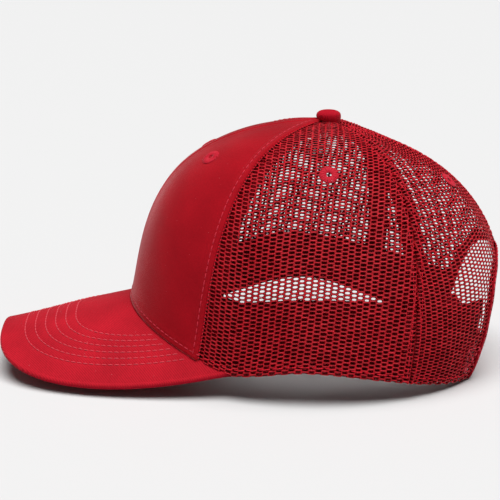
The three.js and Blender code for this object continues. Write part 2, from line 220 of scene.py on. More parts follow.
# Piece UVs are in centimetres of flat cloth.
clothValues = {
    # frontTwill and visorTwill are one red twill: frontTwill's colour is painted a little darker for the
    # shade on the upright front panels, and visorTwill's is painted lighter, with more green and blue, for
    # the pale sheen of the lit visor top
    "frontTwill": {"colour": (0.44, 0.0045, 0.013), "rib": 0.05, "angle": 58, "sheen": 0.75},
    "visorTwill": {"colour": (0.48, 0.010, 0.022), "rib": 0.09, "angle": 52, "sheen": 0.42},
    # the sweatband twill's colour is painted very dark for the shade inside the crown
    "shadeDarkenedTwill": {"colour": (0.16, 0.0012, 0.004), "rib": 0.06, "angle": 58, "sheen": 0.08},
    # the tape's colour is painted darker than the outer twill for the shade inside the crown
    "tapeCloth": {"colour": (0.30, 0.002, 0.008), "rib": 0.05, "angle": 0, "sheen": 0.08},
    "buttonCloth": {"colour": (0.50, 0.006, 0.02), "rib": 0.055, "angle": 45, "sheen": 0.15},
    "underTwill": {"colour": (0.40, 0.005, 0.018), "rib": 0.075, "angle": 52, "sheen": 0.08},
}


twillValues = {
    "roughness": 0.82, "sheenTint": (1, 0.5, 0.52, 1), "crossPitch": 0.62, "crossTurn": 68, "fuzz": 0.11,
    "wash": 2.4, "lintScale": 2.6, "lintSize": 0.045, "lintShare": 0.35, "lintColour": (0.85, 0.35, 0.38),
    "relief": 0.00016,
}


def twillMaterial(name):
    values = clothValues[name]
    base = values["colour"]
    shader = Shader(name, twillValues["roughness"], sheen=values["sheen"])
    shader.bsdf.inputs["Sheen Tint"].default_value = twillValues["sheenTint"]
    ribs = shader.ribs(values["rib"], values["angle"], 0.6)
    crossed = (values["rib"] * twillValues["crossPitch"], values["angle"] + twillValues["crossTurn"])
    yarns = shader.ribs(*crossed, 0.8)
    fuzz = shader.noise(twillValues["fuzz"], 4)
    weave = shader.maths("MULTIPLY", ribs, shader.maths("ADD", shader.maths("MULTIPLY", yarns, 0.5), 0.5))
    wash = shader.noise(twillValues["wash"], 4)
    grain = shader.maths("ADD", shader.maths("MULTIPLY", weave, 0.6), shader.maths("MULTIPLY", fuzz, 0.5))
    cloth = shader.ramp(grain, [(0.1, shaded(base, 0.62)), (0.8, shaded(base, 1.18))])
    cloudy = shader.ramp(wash, [(0.3, (0.86, 0.86, 0.86)), (0.7, (1.10, 1.10, 1.10))])
    cloth = shader.mixed(1.0, cloth, cloudy, "MULTIPLY")
    specks = shader.node("ShaderNodeTexVoronoi", Scale=twillValues["lintScale"])
    shader.join(shader.place, specks.inputs["Vector"])
    lint = shader.maths("LESS_THAN", specks.outputs["Distance"], twillValues["lintSize"])
    lint = shader.maths("MULTIPLY", lint, twillValues["lintShare"])
    shader.colour(shader.mixed(lint, cloth, twillValues["lintColour"]))
    height = shader.maths("ADD", weave, shader.maths("MULTIPLY", fuzz, 0.55))
    shader.bump(height, twillValues["relief"], 0.7)
    return shader.material


# painted light on the net's yarn: the hollow and flank colours are painted shade, the crest colour a painted
# highlight, and the body colour is the yarn's own red
netYarnShadeAndHighlight = {
    "shadedHollow": (0.05, 0.0004, 0.0015), "shadedFlank": (0.27, 0.0012, 0.005),
    "body": (0.62, 0.006, 0.018), "crest": (0.95, 0.075, 0.105),
}


def netMaterial():
    # the relief attribute is 0 at a hole's edge and 1 on the back of a strand; the colour ramp on it paints
    # shade in the hollows and on the flanks, and a highlight on the crests
    shader = Shader("netYarn", 0.45)
    shader.bsdf.inputs["Specular IOR Level"].default_value = surfaceValues["netSpecular"]
    relief = shader.node("ShaderNodeAttribute", attribute_name="relief").outputs["Fac"]
    strands = shader.ribs(0.024, 82, 2.5)
    patches = shader.noise(0.3, 3)
    uneven = shader.maths("MULTIPLY", shader.maths("SUBTRACT", strands, 0.5), 0.22)
    height = shader.maths("ADD", relief, uneven)
    yarn = shader.ramp(height, [
        (0.05, netYarnShadeAndHighlight["shadedHollow"]), (0.45, netYarnShadeAndHighlight["shadedFlank"]),
        (0.78, netYarnShadeAndHighlight["body"]), (1.0, netYarnShadeAndHighlight["crest"]),
    ])
    tone = shader.ramp(patches, [(0.3, (0.72, 0.72, 0.72)), (0.7, (1.18, 1.18, 1.18))])
    shader.colour(shader.mixed(1.0, yarn, tone, "MULTIPLY"))
    shader.bump(shader.maths("ADD", strands, patches), 0.00010, 0.6)
    return shader.material


threadValues = {
    "seamThread": {"colour": (0.60, 0.035, 0.06), "twist": 0.035},
    "visorThread": {"colour": (0.66, 0.07, 0.095), "twist": 0.035},
    "netThread": {"colour": (0.70, 0.012, 0.03), "twist": 0.03},
    "embroideryThread": {"colour": (0.56, 0.016, 0.036), "twist": 0.03},
}


def threadMaterial(name):
    values = threadValues[name]
    shader = Shader(name, 0.45, coordinates="Object", sheen=0.2)
    twist = shader.ribs(values["twist"], 35, 1.0)
    base = values["colour"]
    shader.colour(shader.ramp(twist, [(0.1, shaded(base, 0.8)), (0.9, shaded(base, 1.15))]))
    shader.bump(twist, 0.00005, 0.5)
    return shader.material


def buckramMaterial():
    shader = Shader("openBuckram", 0.85)
    warp = shader.ribs(0.11, 0, 0.5)
    weft = shader.ribs(0.11, 90, 0.5)
    grid = shader.maths("MAXIMUM", warp, weft)
    shader.colour(shader.ramp(grid, [(0.35, (0.50, 0.47, 0.43)), (0.75, (0.84, 0.81, 0.76))]))
    shader.bump(grid, 0.0003, 0.7)
    return shader.material


def foamMaterial():
    shader = Shader("padFoam", 0.95)
    cells = shader.node("ShaderNodeTexVoronoi", Scale=14)
    shader.join(shader.place, cells.inputs["Vector"])
    distance = cells.outputs["Distance"]
    shader.colour(shader.ramp(distance, [(0.0, (0.62, 0.60, 0.56)), (0.6, (0.82, 0.80, 0.76))]))
    shader.bump(distance, 0.0002, 0.6)
    return shader.material


def plasticMaterial(name, base, roughness):
    shader = Shader(name, roughness, coordinates="Object")
    grain = shader.noise(0.06, 2)
    clouds = shader.noise(1.5, 3)
    shader.colour(shader.ramp(clouds, [(0.3, shaded(base, 0.9)), (0.7, shaded(base, 1.1))]))
    shader.bump(grain, 0.00004, 0.4)
    return shader.material


def steelMaterial():
    shader = Shader("rivetSteel", 0.32, coordinates="Object", metallic=1.0)
    scratches = shader.noise(0.05, 3, (1, 12, 1))
    shader.colour(shader.ramp(scratches, [(0.3, (0.45, 0.45, 0.46)), (0.7, (0.72, 0.72, 0.73))]))
    shader.bump(scratches, 0.00002, 0.5)
    return shader.material


finishes = {name: twillMaterial(name) for name in clothValues}
finishes.update({name: threadMaterial(name) for name in threadValues})
finishes["net"] = netMaterial()
finishes["buckram"] = buckramMaterial()
finishes["foam"] = foamMaterial()
finishes["strap"] = plasticMaterial("strapPlastic", (0.42, 0.006, 0.02), 0.38)
finishes["board"] = plasticMaterial("boardPlastic", (0.05, 0.05, 0.055), 0.5)
finishes["steel"] = steelMaterial()
print("materials ready")

# the crown's surface

crown = {
    "halfWidth": 84.5, "frontLength": 105, "backLength": 91, "openingPower": 2.05,
    "topHeight": 132, "topShift": 3.2, "buttonSeat": 0.6,
    "sideRim": 17.2, "backRim": 0, "sideRimAngle": math.radians(79), "backRimAngle": math.radians(155),
    "frontCurve": ((0.93, 0.256), (0.955, 0.8), (0.58, 0.98)),
    "sideCurve": ((0.912, 0.297), (0.858, 0.804), (0.525, 0.988)),
    "backCurve": ((1.325, 0.374), (0.99, 0.9), (0.31, 0.915)),
    "frontSideSeam": (math.radians(44), math.radians(47)),
    "sideBackSeam": (math.radians(117), math.radians(132)),
    "frontEyelet": (0.38, 0.652), "sideEyelet": (0.505, 0.635), "backEyelet": (0.71, 0.555),
}
visor = {
    "length": 71, "halfWidth": 72.5, "cornerY": -52, "cornerAngle": math.radians(54),
    "root": 33.6, "slope": 0.205, "archRadius": 102, "sidePower": 0.58, "tipPower": 0.87,
}
arch = {"halfWidth": 46, "height": 62, "power": 2.7}
sides = (("Left", False), ("Right", True))  # each side's name, and whether it is mirrored

buttonLow, buttonHigh = (np.array(corner) * 1000 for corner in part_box("button_cap"))
capShift = np.array([
    0,
    (buttonLow[1] + buttonHigh[1]) / 2 - crown["topShift"],
    buttonLow[2] - crown["topHeight"] - crown["buttonSeat"],
])


def rimRadius(angle):
    length = np.where(np.cos(angle) > 0, crown["frontLength"], crown["backLength"])
    across = np.abs(np.sin(angle)) / crown["halfWidth"]
    along = np.abs(np.cos(angle)) / length
    power = crown["openingPower"]
    return (across ** power + along ** power) ** (-1 / power)


def visorHeight(x, y):
    drop = visor["archRadius"] - np.sqrt(visor["archRadius"] ** 2 - x ** 2)
    return visor["root"] + visor["slope"] * (y + crown["frontLength"]) - drop


def smooth(t):
    s = np.clip(t, 0, 1)
    return s * s * (3 - 2 * s)


def rimHeight(angle):
    around = np.abs(np.arctan2(np.sin(angle), np.cos(angle)))
    front = np.minimum(around, visor["cornerAngle"])
    radius = rimRadius(front)
    height = visorHeight(radius * np.sin(front), -radius * np.cos(front))
    side = smooth((around - visor["cornerAngle"]) / (crown["sideRimAngle"] - visor["cornerAngle"]))
    height = height + (crown["sideRim"] - height) * side
    back = smooth((around - crown["sideRimAngle"]) / (crown["backRimAngle"] - crown["sideRimAngle"]))
    return height + (crown["backRim"] - height) * back


def crownPoint(angle, u):
    angle, u = np.broadcast_arrays(np.asarray(angle, float), np.asarray(u, float))
    c = np.cos(angle)
    shares = (np.maximum(c, 0) ** 2, np.sin(angle) ** 2, np.maximum(-c, 0) ** 2)
    curves = (crown["frontCurve"], crown["sideCurve"], crown["backCurve"])
    v = 1 - u
    radial, height = v ** 4, u ** 4
    for number, weight in enumerate((4 * u * v ** 3, 6 * u ** 2 * v ** 2, 4 * u ** 3 * v)):
        for share, curve in zip(shares, curves):
            radial = radial + weight * share * curve[number][0]
            height = height + weight * share * curve[number][1]
    radius = rimRadius(angle) * radial
    rim = rimHeight(angle)
    return np.stack([
        radius * np.sin(angle),
        -radius * c + crown["topShift"] * (1 - radial),
        rim + (crown["topHeight"] - rim) * height,
    ], axis=-1)


def unit(vectors):
    return vectors / np.maximum(np.linalg.norm(vectors, axis=-1, keepdims=True), 1e-9)


def crownNormal(angle, u):
    step = 0.004
    around = crownPoint(angle + step, u) - crownPoint(angle - step, u)
    up = crownPoint(angle, np.minimum(u + step, 1)) - crownPoint(angle, np.maximum(u - step, 0))
    return unit(np.cross(around, up))


def aroundScale(angle, u):
    # millimetres of cloth for one radian round the crown
    step = 0.01
    return np.linalg.norm(crownPoint(angle + step, u) - crownPoint(angle - step, u), axis=-1) / (2 * step)


tableAngles = np.radians(np.arange(-181, 182))
tableShares = np.linspace(0, 1, 301)
tablePoints = crownPoint(tableAngles[:, None], tableShares[None, :])
tableSteps = np.linalg.norm(np.diff(tablePoints, axis=1), axis=-1)
tableLengths = np.concatenate([np.zeros((len(tableAngles), 1)), np.cumsum(tableSteps, axis=1)], axis=1)
heightTable = np.array([np.interp(np.arange(240), row, tableShares) for row in tableLengths])


def lookUp(table, angle, column):
    # bilinear reading of a table whose rows are the table's angles
    turned = np.arctan2(np.sin(angle), np.cos(angle))
    row = np.clip(np.degrees(turned) + 181, 0, len(tableAngles) - 1.001)
    column = np.clip(column, 0, table.shape[1] - 1.001)
    r, c = row.astype(int), column.astype(int)
    fr, fc = row - r, column - c
    low = table[r, c] * (1 - fc) + table[r, c + 1] * fc
    high = table[r + 1, c] * (1 - fc) + table[r + 1, c + 1] * fc
    return low * (1 - fr) + high * fr


def clothHeight(angle, u):
    # length of cloth from the rim up to the share u
    angle, u = np.broadcast_arrays(np.asarray(angle, float), np.asarray(u, float))
    return lookUp(tableLengths, angle, u * 300)


def shareAt(angle, height):
    angle, height = np.broadcast_arrays(np.asarray(angle, float), np.asarray(height, float))
    return lookUp(heightTable, angle, height)


def shareAtRadius(angle, radius):
    # the share where the crown closes to a radius about its top
    angle = np.asarray(angle, float)
    shares = np.linspace(0.7, 1, 120)
    points = crownPoint(angle[..., None], shares)
    plan = np.hypot(points[..., 0], points[..., 1] - crown["topShift"])
    return shares[np.argmax(plan <= radius, axis=-1)]


def seamLine(seam):
    return lambda u: seam[0] + (seam[1] - seam[0]) * u


def frontLine(u):
    return 0 * u


def backLine(u):
    return math.pi + 0 * u


frontSideLine = seamLine(crown["frontSideSeam"])
sideBackLine = seamLine(crown["sideBackSeam"])

settleValues = {
    "rise": 4.2, "middle": 4, "reach": 27, "side": (35, 35), "fade": (8, 50),
    "visorDrop": 3.2, "cornerAcross": (2, 45), "cornerAhead": (128, 42),
}


def settled(points):
    # a worn cap is not quite even: its right side stands a little higher in the middle,
    # and the visor's right corner hangs a little lower
    x, y, z = points[:, 0], points[:, 1], points[:, 2]
    def grows(value, name):
        start, width = settleValues[name]
        return smooth((value - start) / width)
    along = np.exp(-((y - settleValues["middle"]) / settleValues["reach"]) ** 2)
    rise = settleValues["rise"] * grows(-x, "side") * along * (1 - grows(z, "fade"))
    drop = settleValues["visorDrop"] * (grows(-x, "cornerAcross") * grows(-y, "cornerAhead"))
    lift = rise - drop
    return points + np.stack([0 * x, 0 * y, lift], axis=1)


# making meshes


def makePiece(name, points, faces, finish, uv=None, body="crown", mirror=False, relief=None):
    # points in crown millimetres, faces as an array or a list of index lists
    points = np.array(points, float).reshape(-1, 3)
    if mirror:
        points = points * (-1, 1, 1)
    points = settled(points)
    mesh = bpy.data.meshes.new(name)
    faceList = [list(face)[::-1] if mirror else list(face) for face in faces]
    mesh.from_pydata(((points + capShift) * 0.001).tolist(), [], faceList)
    mesh.polygons.foreach_set("use_smooth", np.ones(len(mesh.polygons), bool))
    if uv is not None:
        layer = mesh.uv_layers.new(name="cloth")
        corners = np.zeros(len(mesh.loops), np.int32)
        mesh.loops.foreach_get("vertex_index", corners)
        layer.data.foreach_set("uv", np.array(uv, float).reshape(-1, 2)[corners].ravel())
    if relief is not None:
        layer = mesh.attributes.new("relief", "FLOAT", "POINT")
        layer.data.foreach_set("value", np.array(relief, np.float32))
    mesh.update()
    piece = bpy.data.objects.new(name, mesh)
    bpy.context.collection.objects.link(piece)
    return finishPiece(piece, finish, body)


def finishPiece(piece, finish, body="crown"):
    piece.data.materials.clear()
    piece.data.materials.append(finishes[finish])
    if body:
        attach(piece, body)
    return piece


def closedGrid(rows, columns):
    # faces of a closed sheet between two grids of points, the second numbered after the first
    index = np.arange(rows * columns).reshape(rows, columns)
    behind = index + rows * columns
    def quads(a, b, c, d):
        return np.stack([a.ravel(), b.ravel(), c.ravel(), d.ravel()], axis=1)
    return np.concatenate([
        quads(index[:-1, :-1], index[:-1, 1:], index[1:, 1:], index[1:, :-1]),
        quads(behind[:-1, :-1], behind[1:, :-1], behind[1:, 1:], behind[:-1, 1:]),
        quads(index[0, 1:], index[0, :-1], behind[0, :-1], behind[0, 1:]),
        quads(index[-1, :-1], index[-1, 1:], behind[-1, 1:], behind[-1, :-1]),
        quads(index[:-1, 0], index[1:, 0], behind[1:, 0], behind[:-1, 0]),
        quads(index[1:, -1], index[:-1, -1], behind[:-1, -1], behind[1:, -1]),
    ])


def makeSheet(name, outer, inner, finish, uv=None, **values):
    # a closed sheet between two grids of points; uv is the outer grid's
    points = np.concatenate([outer.reshape(-1, 3), inner.reshape(-1, 3)])
    if uv is not None:
        uv = np.concatenate([uv.reshape(-1, 2)] * 2)
    return makePiece(name, points, closedGrid(*outer.shape[:2]), finish, uv, **values)


areaShares = {"least": 0.301, "most": 0.999}  # of the rectangle that a flat cut fits in


def declareSheet(piece, width, length):
    # width and length of the flat cut in millimetres; a closed sheet has its cloth's area twice
    area = sum(polygon.area for polygon in piece.data.polygons) / 2
    area = min(area, areaShares["most"] * width * length * 1e-6)


def crownSheet(name, finish, left, right, bottom, top, columns, rows, lift, thickness, mirror=False):
    # a closed sheet over the crown; lift gives its outer face's height over the crown's surface
    s = np.linspace(0, 1, columns + 1)[None, :]
    t = np.linspace(0, 1, rows + 1)[:, None]
    u = t + 0 * s
    for number in range(5):  # the sides depend on the share and the ends on the angle
        angle = left(u) + (right(u) - left(u)) * s
        u = bottom(angle) + (top(angle) - bottom(angle)) * t
    scale = aroundScale(angle, u)
    place = {
        "angle": angle, "height": clothHeight(angle, u),
        "left": (angle - left(u)) * scale, "right": (right(u) - angle) * scale,
        "fromTop": clothHeight(angle, top(angle)) - clothHeight(angle, u),
    }
    points, normals = crownPoint(angle, u), crownNormal(angle, u)
    raised = lift(place) if callable(lift) else lift + 0 * u
    outer = points + normals * raised[..., None]
    inner = outer - normals * thickness
    across = (angle - (left(u) + right(u)) / 2) * scale
    uv = np.stack([across, place["height"]], axis=-1) / 10
    piece = makeSheet(name, outer, inner, finish, uv, mirror=mirror)
    piece["flatWidth"] = float(np.ptp(across))
    piece["flatLength"] = float(np.max(place["height"]) - np.min(place["height"]))
    return piece


def declareCrownSheet(piece):
    allowance = 1.002
    declareSheet(piece, piece["flatWidth"] * allowance, piece["flatLength"] * allowance)


# stitches

stitchValues = {"length": 2.7, "gap": 0.9, "width": 0.62, "height": 0.42, "bow": 1.1}


def stitchShape():
    # one stitch, modelled as a small bowed bead whose ends dive into the cloth
    bpy.ops.object.select_all(action="DESELECT")
    lying = (0, math.pi / 2, 0)
    bpy.ops.mesh.primitive_uv_sphere_add(segments=6, ring_count=6, radius=0.5, rotation=lying)
    bead = bpy.context.object
    bpy.ops.object.transform_apply(location=False, rotation=True)
    points = np.array([vertex.co for vertex in bead.data.vertices])
    faces = [list(polygon.vertices) for polygon in bead.data.polygons]
    bpy.data.objects.remove(bead)
    points[:, 0] = np.sin(points[:, 0] * math.pi) / 2
    points[:, 2] -= stitchValues["bow"] * points[:, 0] ** 2
    return points, faces


beadPoints, beadFaces = stitchShape()


def stitchPath(path, normals, length=None, gap=None, width=None):
    # places stitches along a path; returns their points and faces
    length = length or stitchValues["length"]
    gap = gap or stitchValues["gap"]
    width = width or stitchValues["width"]
    steps = np.linalg.norm(np.diff(path, axis=0), axis=1)
    travelled = np.concatenate([[0], np.cumsum(steps)])
    count = int(travelled[-1] / (length + gap))
    if count < 1:
        return np.zeros((0, 3)), []
    middles = (np.arange(count) + 0.5) * travelled[-1] / count
    def at(distances, values):
        return np.stack([np.interp(distances, travelled, values[:, axis]) for axis in range(3)], axis=1)
    centre = at(middles, path)
    along = unit(at(middles + length / 2, path) - at(middles - length / 2, path))
    up = unit(at(middles, normals))
    across = unit(np.cross(up, along))
    up = np.cross(along, across)
    size = np.array([length * 1.1, width, stitchValues["height"] * 2])
    bead = beadPoints * size
    points = (centre[:, None, :] + along[:, None, :] * bead[None, :, 0:1]
              + across[:, None, :] * bead[None, :, 1:2] + up[:, None, :] * bead[None, :, 2:3])
    faces = [[corner + number * len(bead) for corner in face]
             for number in range(count) for face in beadFaces]
    return points.reshape(-1, 3), faces


def gathered(parts):
    # the points and faces of several small meshes as one
    allPoints, allFaces, start = [], [], 0
    for points, faces in parts:
        allPoints.append(points)
        allFaces += [[corner + start for corner in face] for face in faces]
        start += len(points)
    return np.concatenate(allPoints), allFaces


def stitchedPiece(name, rows, finish="seamThread", mirror=False, **values):
    # all rows of stitches of one piece of cloth, as one piece
    points, faces = gathered(stitchPath(path, normals, **values) for path, normals in rows)
    return makePiece(name, points, faces, finish, mirror=mirror)


def besideLine(line, distance, least):
    # a line at a distance in millimetres beside another; least keeps it steady near the top
    return lambda u: line(u) + distance / np.maximum(aroundScale(line(u), u), least)


def crownRow(angles, shares, lift):
    points, normals = crownPoint(angles, shares), crownNormal(angles, shares)
    return points + normals * lift, normals


def besideSeam(line, distance, low, high, lift, samples=160):
    # a row beside a seam, distance in millimetres round the crown, heights from the rim
    u = np.linspace(0, 1, samples)
    seam = line(u)
    heights = clothHeight(seam, u)
    u = np.interp(np.linspace(low, high, samples), heights, u)
    seam = line(u)
    return crownRow(seam + distance / aroundScale(seam, u), u, lift)


def alongRim(first, last, height, lift, samples=200):
    angles = np.linspace(first, last, samples)
    return crownRow(angles, shareAt(angles, height), lift)


# front panels

frontValues = {
    "thickness": 0.9, "overlap": -1.7, "raise": 0.35, "slack": 0.30, "edgeRaise": 0.5, "hemRaise": 0.25,
    "seamStitch": 4.8, "rimStitch": 3.2, "topRadius": 4.6, "seamDepth": 0.75, "pucker": 0.05,
    "puckerPitch": 3.6,
}


def groove(distance, width, depth):
    return -depth * np.exp(-(distance / width) ** 2)


def frontLift(place):
    left, right, height = place["left"], place["right"], place["height"]
    slack = frontValues["slack"] * np.sin(left * 0.11 + height * 0.045) * np.sin(height * 0.06 + 0.8)
    slack = slack * smooth(left / 14) * smooth(right / 14) * smooth(height / 20)
    lift = frontValues["raise"] + slack
    lift = lift + groove(left, 0.9, frontValues["seamDepth"]) + 0.18 * np.exp(-((left - 3.2) / 1.8) ** 2)
    lift = lift + frontValues["edgeRaise"] * (1 - smooth((right - 3.4) / 2.0))
    lift = lift + groove(right - frontValues["seamStitch"] - frontValues["overlap"], 0.8, 0.32)
    lift = lift - frontValues["seamDepth"] * np.exp(-(right / 0.55) ** 2)
    lift = lift + frontValues["hemRaise"] * (1 - smooth((height - 4.5) / 2))
    lift = lift + groove(height - frontValues["rimStitch"], 0.7, 0.26)
    pucker = np.sin(height * 2 * math.pi / frontValues["puckerPitch"]) * np.exp(-((right - 3.1) / 1.4) ** 2)
    return lift + frontValues["pucker"] * pucker - 0.6 * np.exp(-(height / 0.6) ** 2)


def addFrontPanels():
    rightLine = besideLine(frontSideLine, frontValues["overlap"], 8)
    for side, mirror in sides:
        panel = crownSheet(
            "frontPanel" + side, "frontTwill", frontLine, rightLine, lambda a: 0 * a,
            lambda a: shareAtRadius(a, frontValues["topRadius"]), 110, 120, frontLift,
            frontValues["thickness"], mirror,
        )
        tall = clothHeight(0.4, 1.0) - 6
        rows = [
            besideSeam(frontSideLine, -frontValues["seamStitch"], 2, tall, 0.62),
            alongRim(0.004, crown["frontSideSeam"][0] - 0.005, frontValues["rimStitch"], 0.42),
        ]
        thread = stitchedPiece("frontPanelStitching" + side, rows, mirror=mirror)
        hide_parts("front_panel_" + side.lower())
        declareCrownSheet(panel)


addFrontPanels()
print("front panels ready")

# net

netValues = {
    "column": 3.35, "pitch": 2.05, "holeWidth": 2.3, "holeHeight": 1.12, "holePower": 2.5,
    "crestTop": 0.42, "crestCorner": 0.36, "crestSide": 0.26, "jitter": 0.07, "under": 0.42,
    "fold": 0.6, "hem": 5.0, "seamFold": 4.6, "tuck": 4.6, "ridge": 0.75, "topRadius": 4.8, "seed": 7,
    "swell": 0.06, "slump": 0.7, "ripple": 0.35, "pleat": 0.45, "pleatPitch": 5.4, "ragged": 0.35,
    "eyeletClear": 3.4, "archClear": 1.6,
}


def netCell():
    # the crest points round one hole, with their heights
    a = (netValues["column"] ** 2 - netValues["pitch"] ** 2 / 4) / (2 * netValues["column"])
    b = (netValues["column"] ** 2 + netValues["pitch"] ** 2 / 4) / (2 * netValues["column"])
    h = netValues["pitch"] / 2
    top, corner, side = (netValues[key] for key in ("crestTop", "crestCorner", "crestSide"))
    quarter = [(b, 0, corner), ((a + b) / 2, h / 2, side), (a, h, corner), (0, h, top)]
    half = quarter + [(-x, y, z) for x, y, z in quarter[2:0:-1]]
    ring = half + [(-x, -y, z) for x, y, z in half]
    return np.array(ring)


def holeRing(ring):
    phase = np.arctan2(ring[:, 1] / netValues["pitch"] * 2, ring[:, 0] / netValues["column"] * 2)
    power = 2 / netValues["holePower"]
    x = netValues["holeWidth"] / 2 * np.sign(np.cos(phase)) * np.abs(np.cos(phase)) ** power
    y = netValues["holeHeight"] / 2 * np.sign(np.sin(phase)) * np.abs(np.sin(phase)) ** power
    return np.stack([x, y, 0 * x], axis=1)


def flatNet(centres, random):
    # a flat net with a hole at each centre: its points, its faces and each point's relief
    ring = netCell()
    count = len(ring)
    hole = holeRing(ring)
    middle = ring * (0.5, 0.5, 0.82) + hole * (0.5, 0.5, 0)
    spots = centres[:, None, :] + ring[None, :, :2]
    keys = np.round(spots.reshape(-1, 2) * 100).astype(int)
    unique, first, places = np.unique(keys, axis=0, return_index=True, return_inverse=True)
    crest = spots.reshape(-1, 2)[first] + random.normal(0, netValues["jitter"], (len(unique), 2))
    crestHeight = np.tile(ring[:, 2], len(centres))[first]
    places = places.reshape(len(centres), count)
    cells = len(centres)
    wobble = random.normal(0, netValues["jitter"], (cells, 1, 2))
    swell = 1 + random.normal(0, netValues["swell"], (cells, 1, 1))
    def rings(shape):
        flat = centres[:, None, :] + shape[None, :, :2] * swell + wobble
        heights = np.broadcast_to(shape[None, :, 2:3], (cells, count, 1))
        return np.concatenate([flat, heights], axis=2).reshape(-1, 3)
    crestTop = np.column_stack([crest, crestHeight])
    crestUnder = np.column_stack([crest, -crestHeight])
    points = np.concatenate([crestTop, crestUnder, rings(middle), rings(hole)])
    top = places
    under = places + len(unique)
    middleIndex = np.arange(cells * count).reshape(cells, count) + 2 * len(unique)
    holeIndex = middleIndex + cells * count
    def band(outer, inner, flip=False):
        nextOuter, nextInner = np.roll(outer, -1, axis=1), np.roll(inner, -1, axis=1)
        order = (inner, nextInner, nextOuter, outer) if flip else (outer, nextOuter, nextInner, inner)
        return np.stack([part.ravel() for part in order], axis=1)
    faces = [band(top, middleIndex), band(middleIndex, holeIndex), band(under, holeIndex, True)]
    starts, ends = top.ravel(), np.roll(top, -1, axis=1).ravel()
    low, high = np.minimum(starts, ends), np.maximum(starts, ends)
    code = low.astype(np.int64) * (2 * len(unique)) + high
    back, counts = np.unique(code, return_inverse=True, return_counts=True)[1:]
    free = counts[back.ravel()] == 1  # edges with no neighbour get a side wall
    starts, ends = starts[free], ends[free]
    faces.append(np.stack([ends, starts, starts + len(unique), ends + len(unique)], axis=1))
    crestRelief = np.tile(crestHeight / netValues["crestTop"], 2)
    relief = np.concatenate([crestRelief, np.full(cells * count, 0.5), np.zeros(cells * count)])
    return points, np.concatenate(faces), relief


goreColumns = 40


def gore(left, right):
    # lengths up a net panel's middle, its width, and the angles across it
    u = tableShares
    middle = (left(u) + right(u)) / 2
    points = crownPoint(middle, u)
    lengths = np.concatenate([[0], np.cumsum(np.linalg.norm(np.diff(points, axis=0), axis=1))])
    shares = np.linspace(0, 1, goreColumns + 1)
    angles = left(u)[:, None] + (right(u) - left(u))[:, None] * shares[None, :]
    rows = crownPoint(angles, u[:, None])
    steps = np.linalg.norm(np.diff(rows, axis=1), axis=-1)
    across = np.concatenate([np.zeros((len(u), 1)), np.cumsum(steps, axis=1)], axis=1)
    return {"u": u, "lengths": lengths, "across": across, "angles": angles, "width": across[:, -1]}


def goreAngle(net, row, x):
    # the angle at a distance x from the left line, row by row of the gore's table
    low = np.clip(row.astype(int), 0, len(net["u"]) - 2)
    part = row - low
    def onRow(index):
        width = net["width"][index]
        share = np.clip(x / np.maximum(width, 0.01), 0, 1) * goreColumns
        cell = np.clip(share.astype(int), 0, goreColumns - 1)
        # even steps of angle are close to even steps of cloth, so one correction is enough
        start, end = net["across"][index, cell], net["across"][index, cell + 1]
        inside = (np.clip(x, 0, width) - start) / np.maximum(end - start, 0.01)
        place = np.clip(cell + inside, 0, goreColumns)
        corner = np.clip(place.astype(int), 0, goreColumns - 1)
        rest = place - corner
        angles = net["angles"]
        angle = angles[index, corner] * (1 - rest) + angles[index, corner + 1] * rest
        beyond = np.where(x < 0, x, np.where(x > width, x - width, 0))
        return angle + beyond / np.maximum(width, 4) * (angles[index, goreColumns] - angles[index, 0])
    return onRow(low) * (1 - part) + onRow(low + 1) * part


def foldUnder(distance):
    # a sheet that turns under at distance 0: how far in it really is, and how deep
    r = netValues["fold"]
    turn = np.clip((r - distance) / r, 0, math.pi)
    inside = np.maximum(r - distance - math.pi * r, 0)
    flat = np.maximum(distance - r, 0)
    return r + flat - r * np.sin(turn) + inside, r * (1 - np.cos(turn))


def netSlack(x, y, top, width, phase):
    # soft slumps over the whole panel and upright pleats near the button
    slump = netValues["slump"] * np.sin(x * 0.075 + phase) * np.sin(y * 0.055 + phase * 2)
    slump = slump + netValues["ripple"] * np.sin(x * 0.19 + y * 0.07 + phase * 3)
    inner = smooth(y / 16) * smooth((top - y) / 14) * smooth((width / 2 - np.abs(x)) / 12)
    pleats = netValues["pleat"] * np.cos(x * 2 * math.pi / netValues["pleatPitch"])
    pleats = pleats * smooth((y - top + 34) / 22)
    return slump * inner + pleats * smooth((width / 2 - np.abs(x)) / 5)


def eyeletSpot(where, left, right):
    share, u = crown[where + "Eyelet"]
    return left(u) + (right(u) - left(u)) * share, u


def insideArch(points, margin):
    x = np.abs(points[..., 0]) / (arch["halfWidth"] + margin)
    z = np.maximum(points[..., 2] - crown["backRim"], 0) / (arch["height"] + margin)
    return (x ** arch["power"] + z ** arch["power"] < 1) & (points[..., 1] > 0)


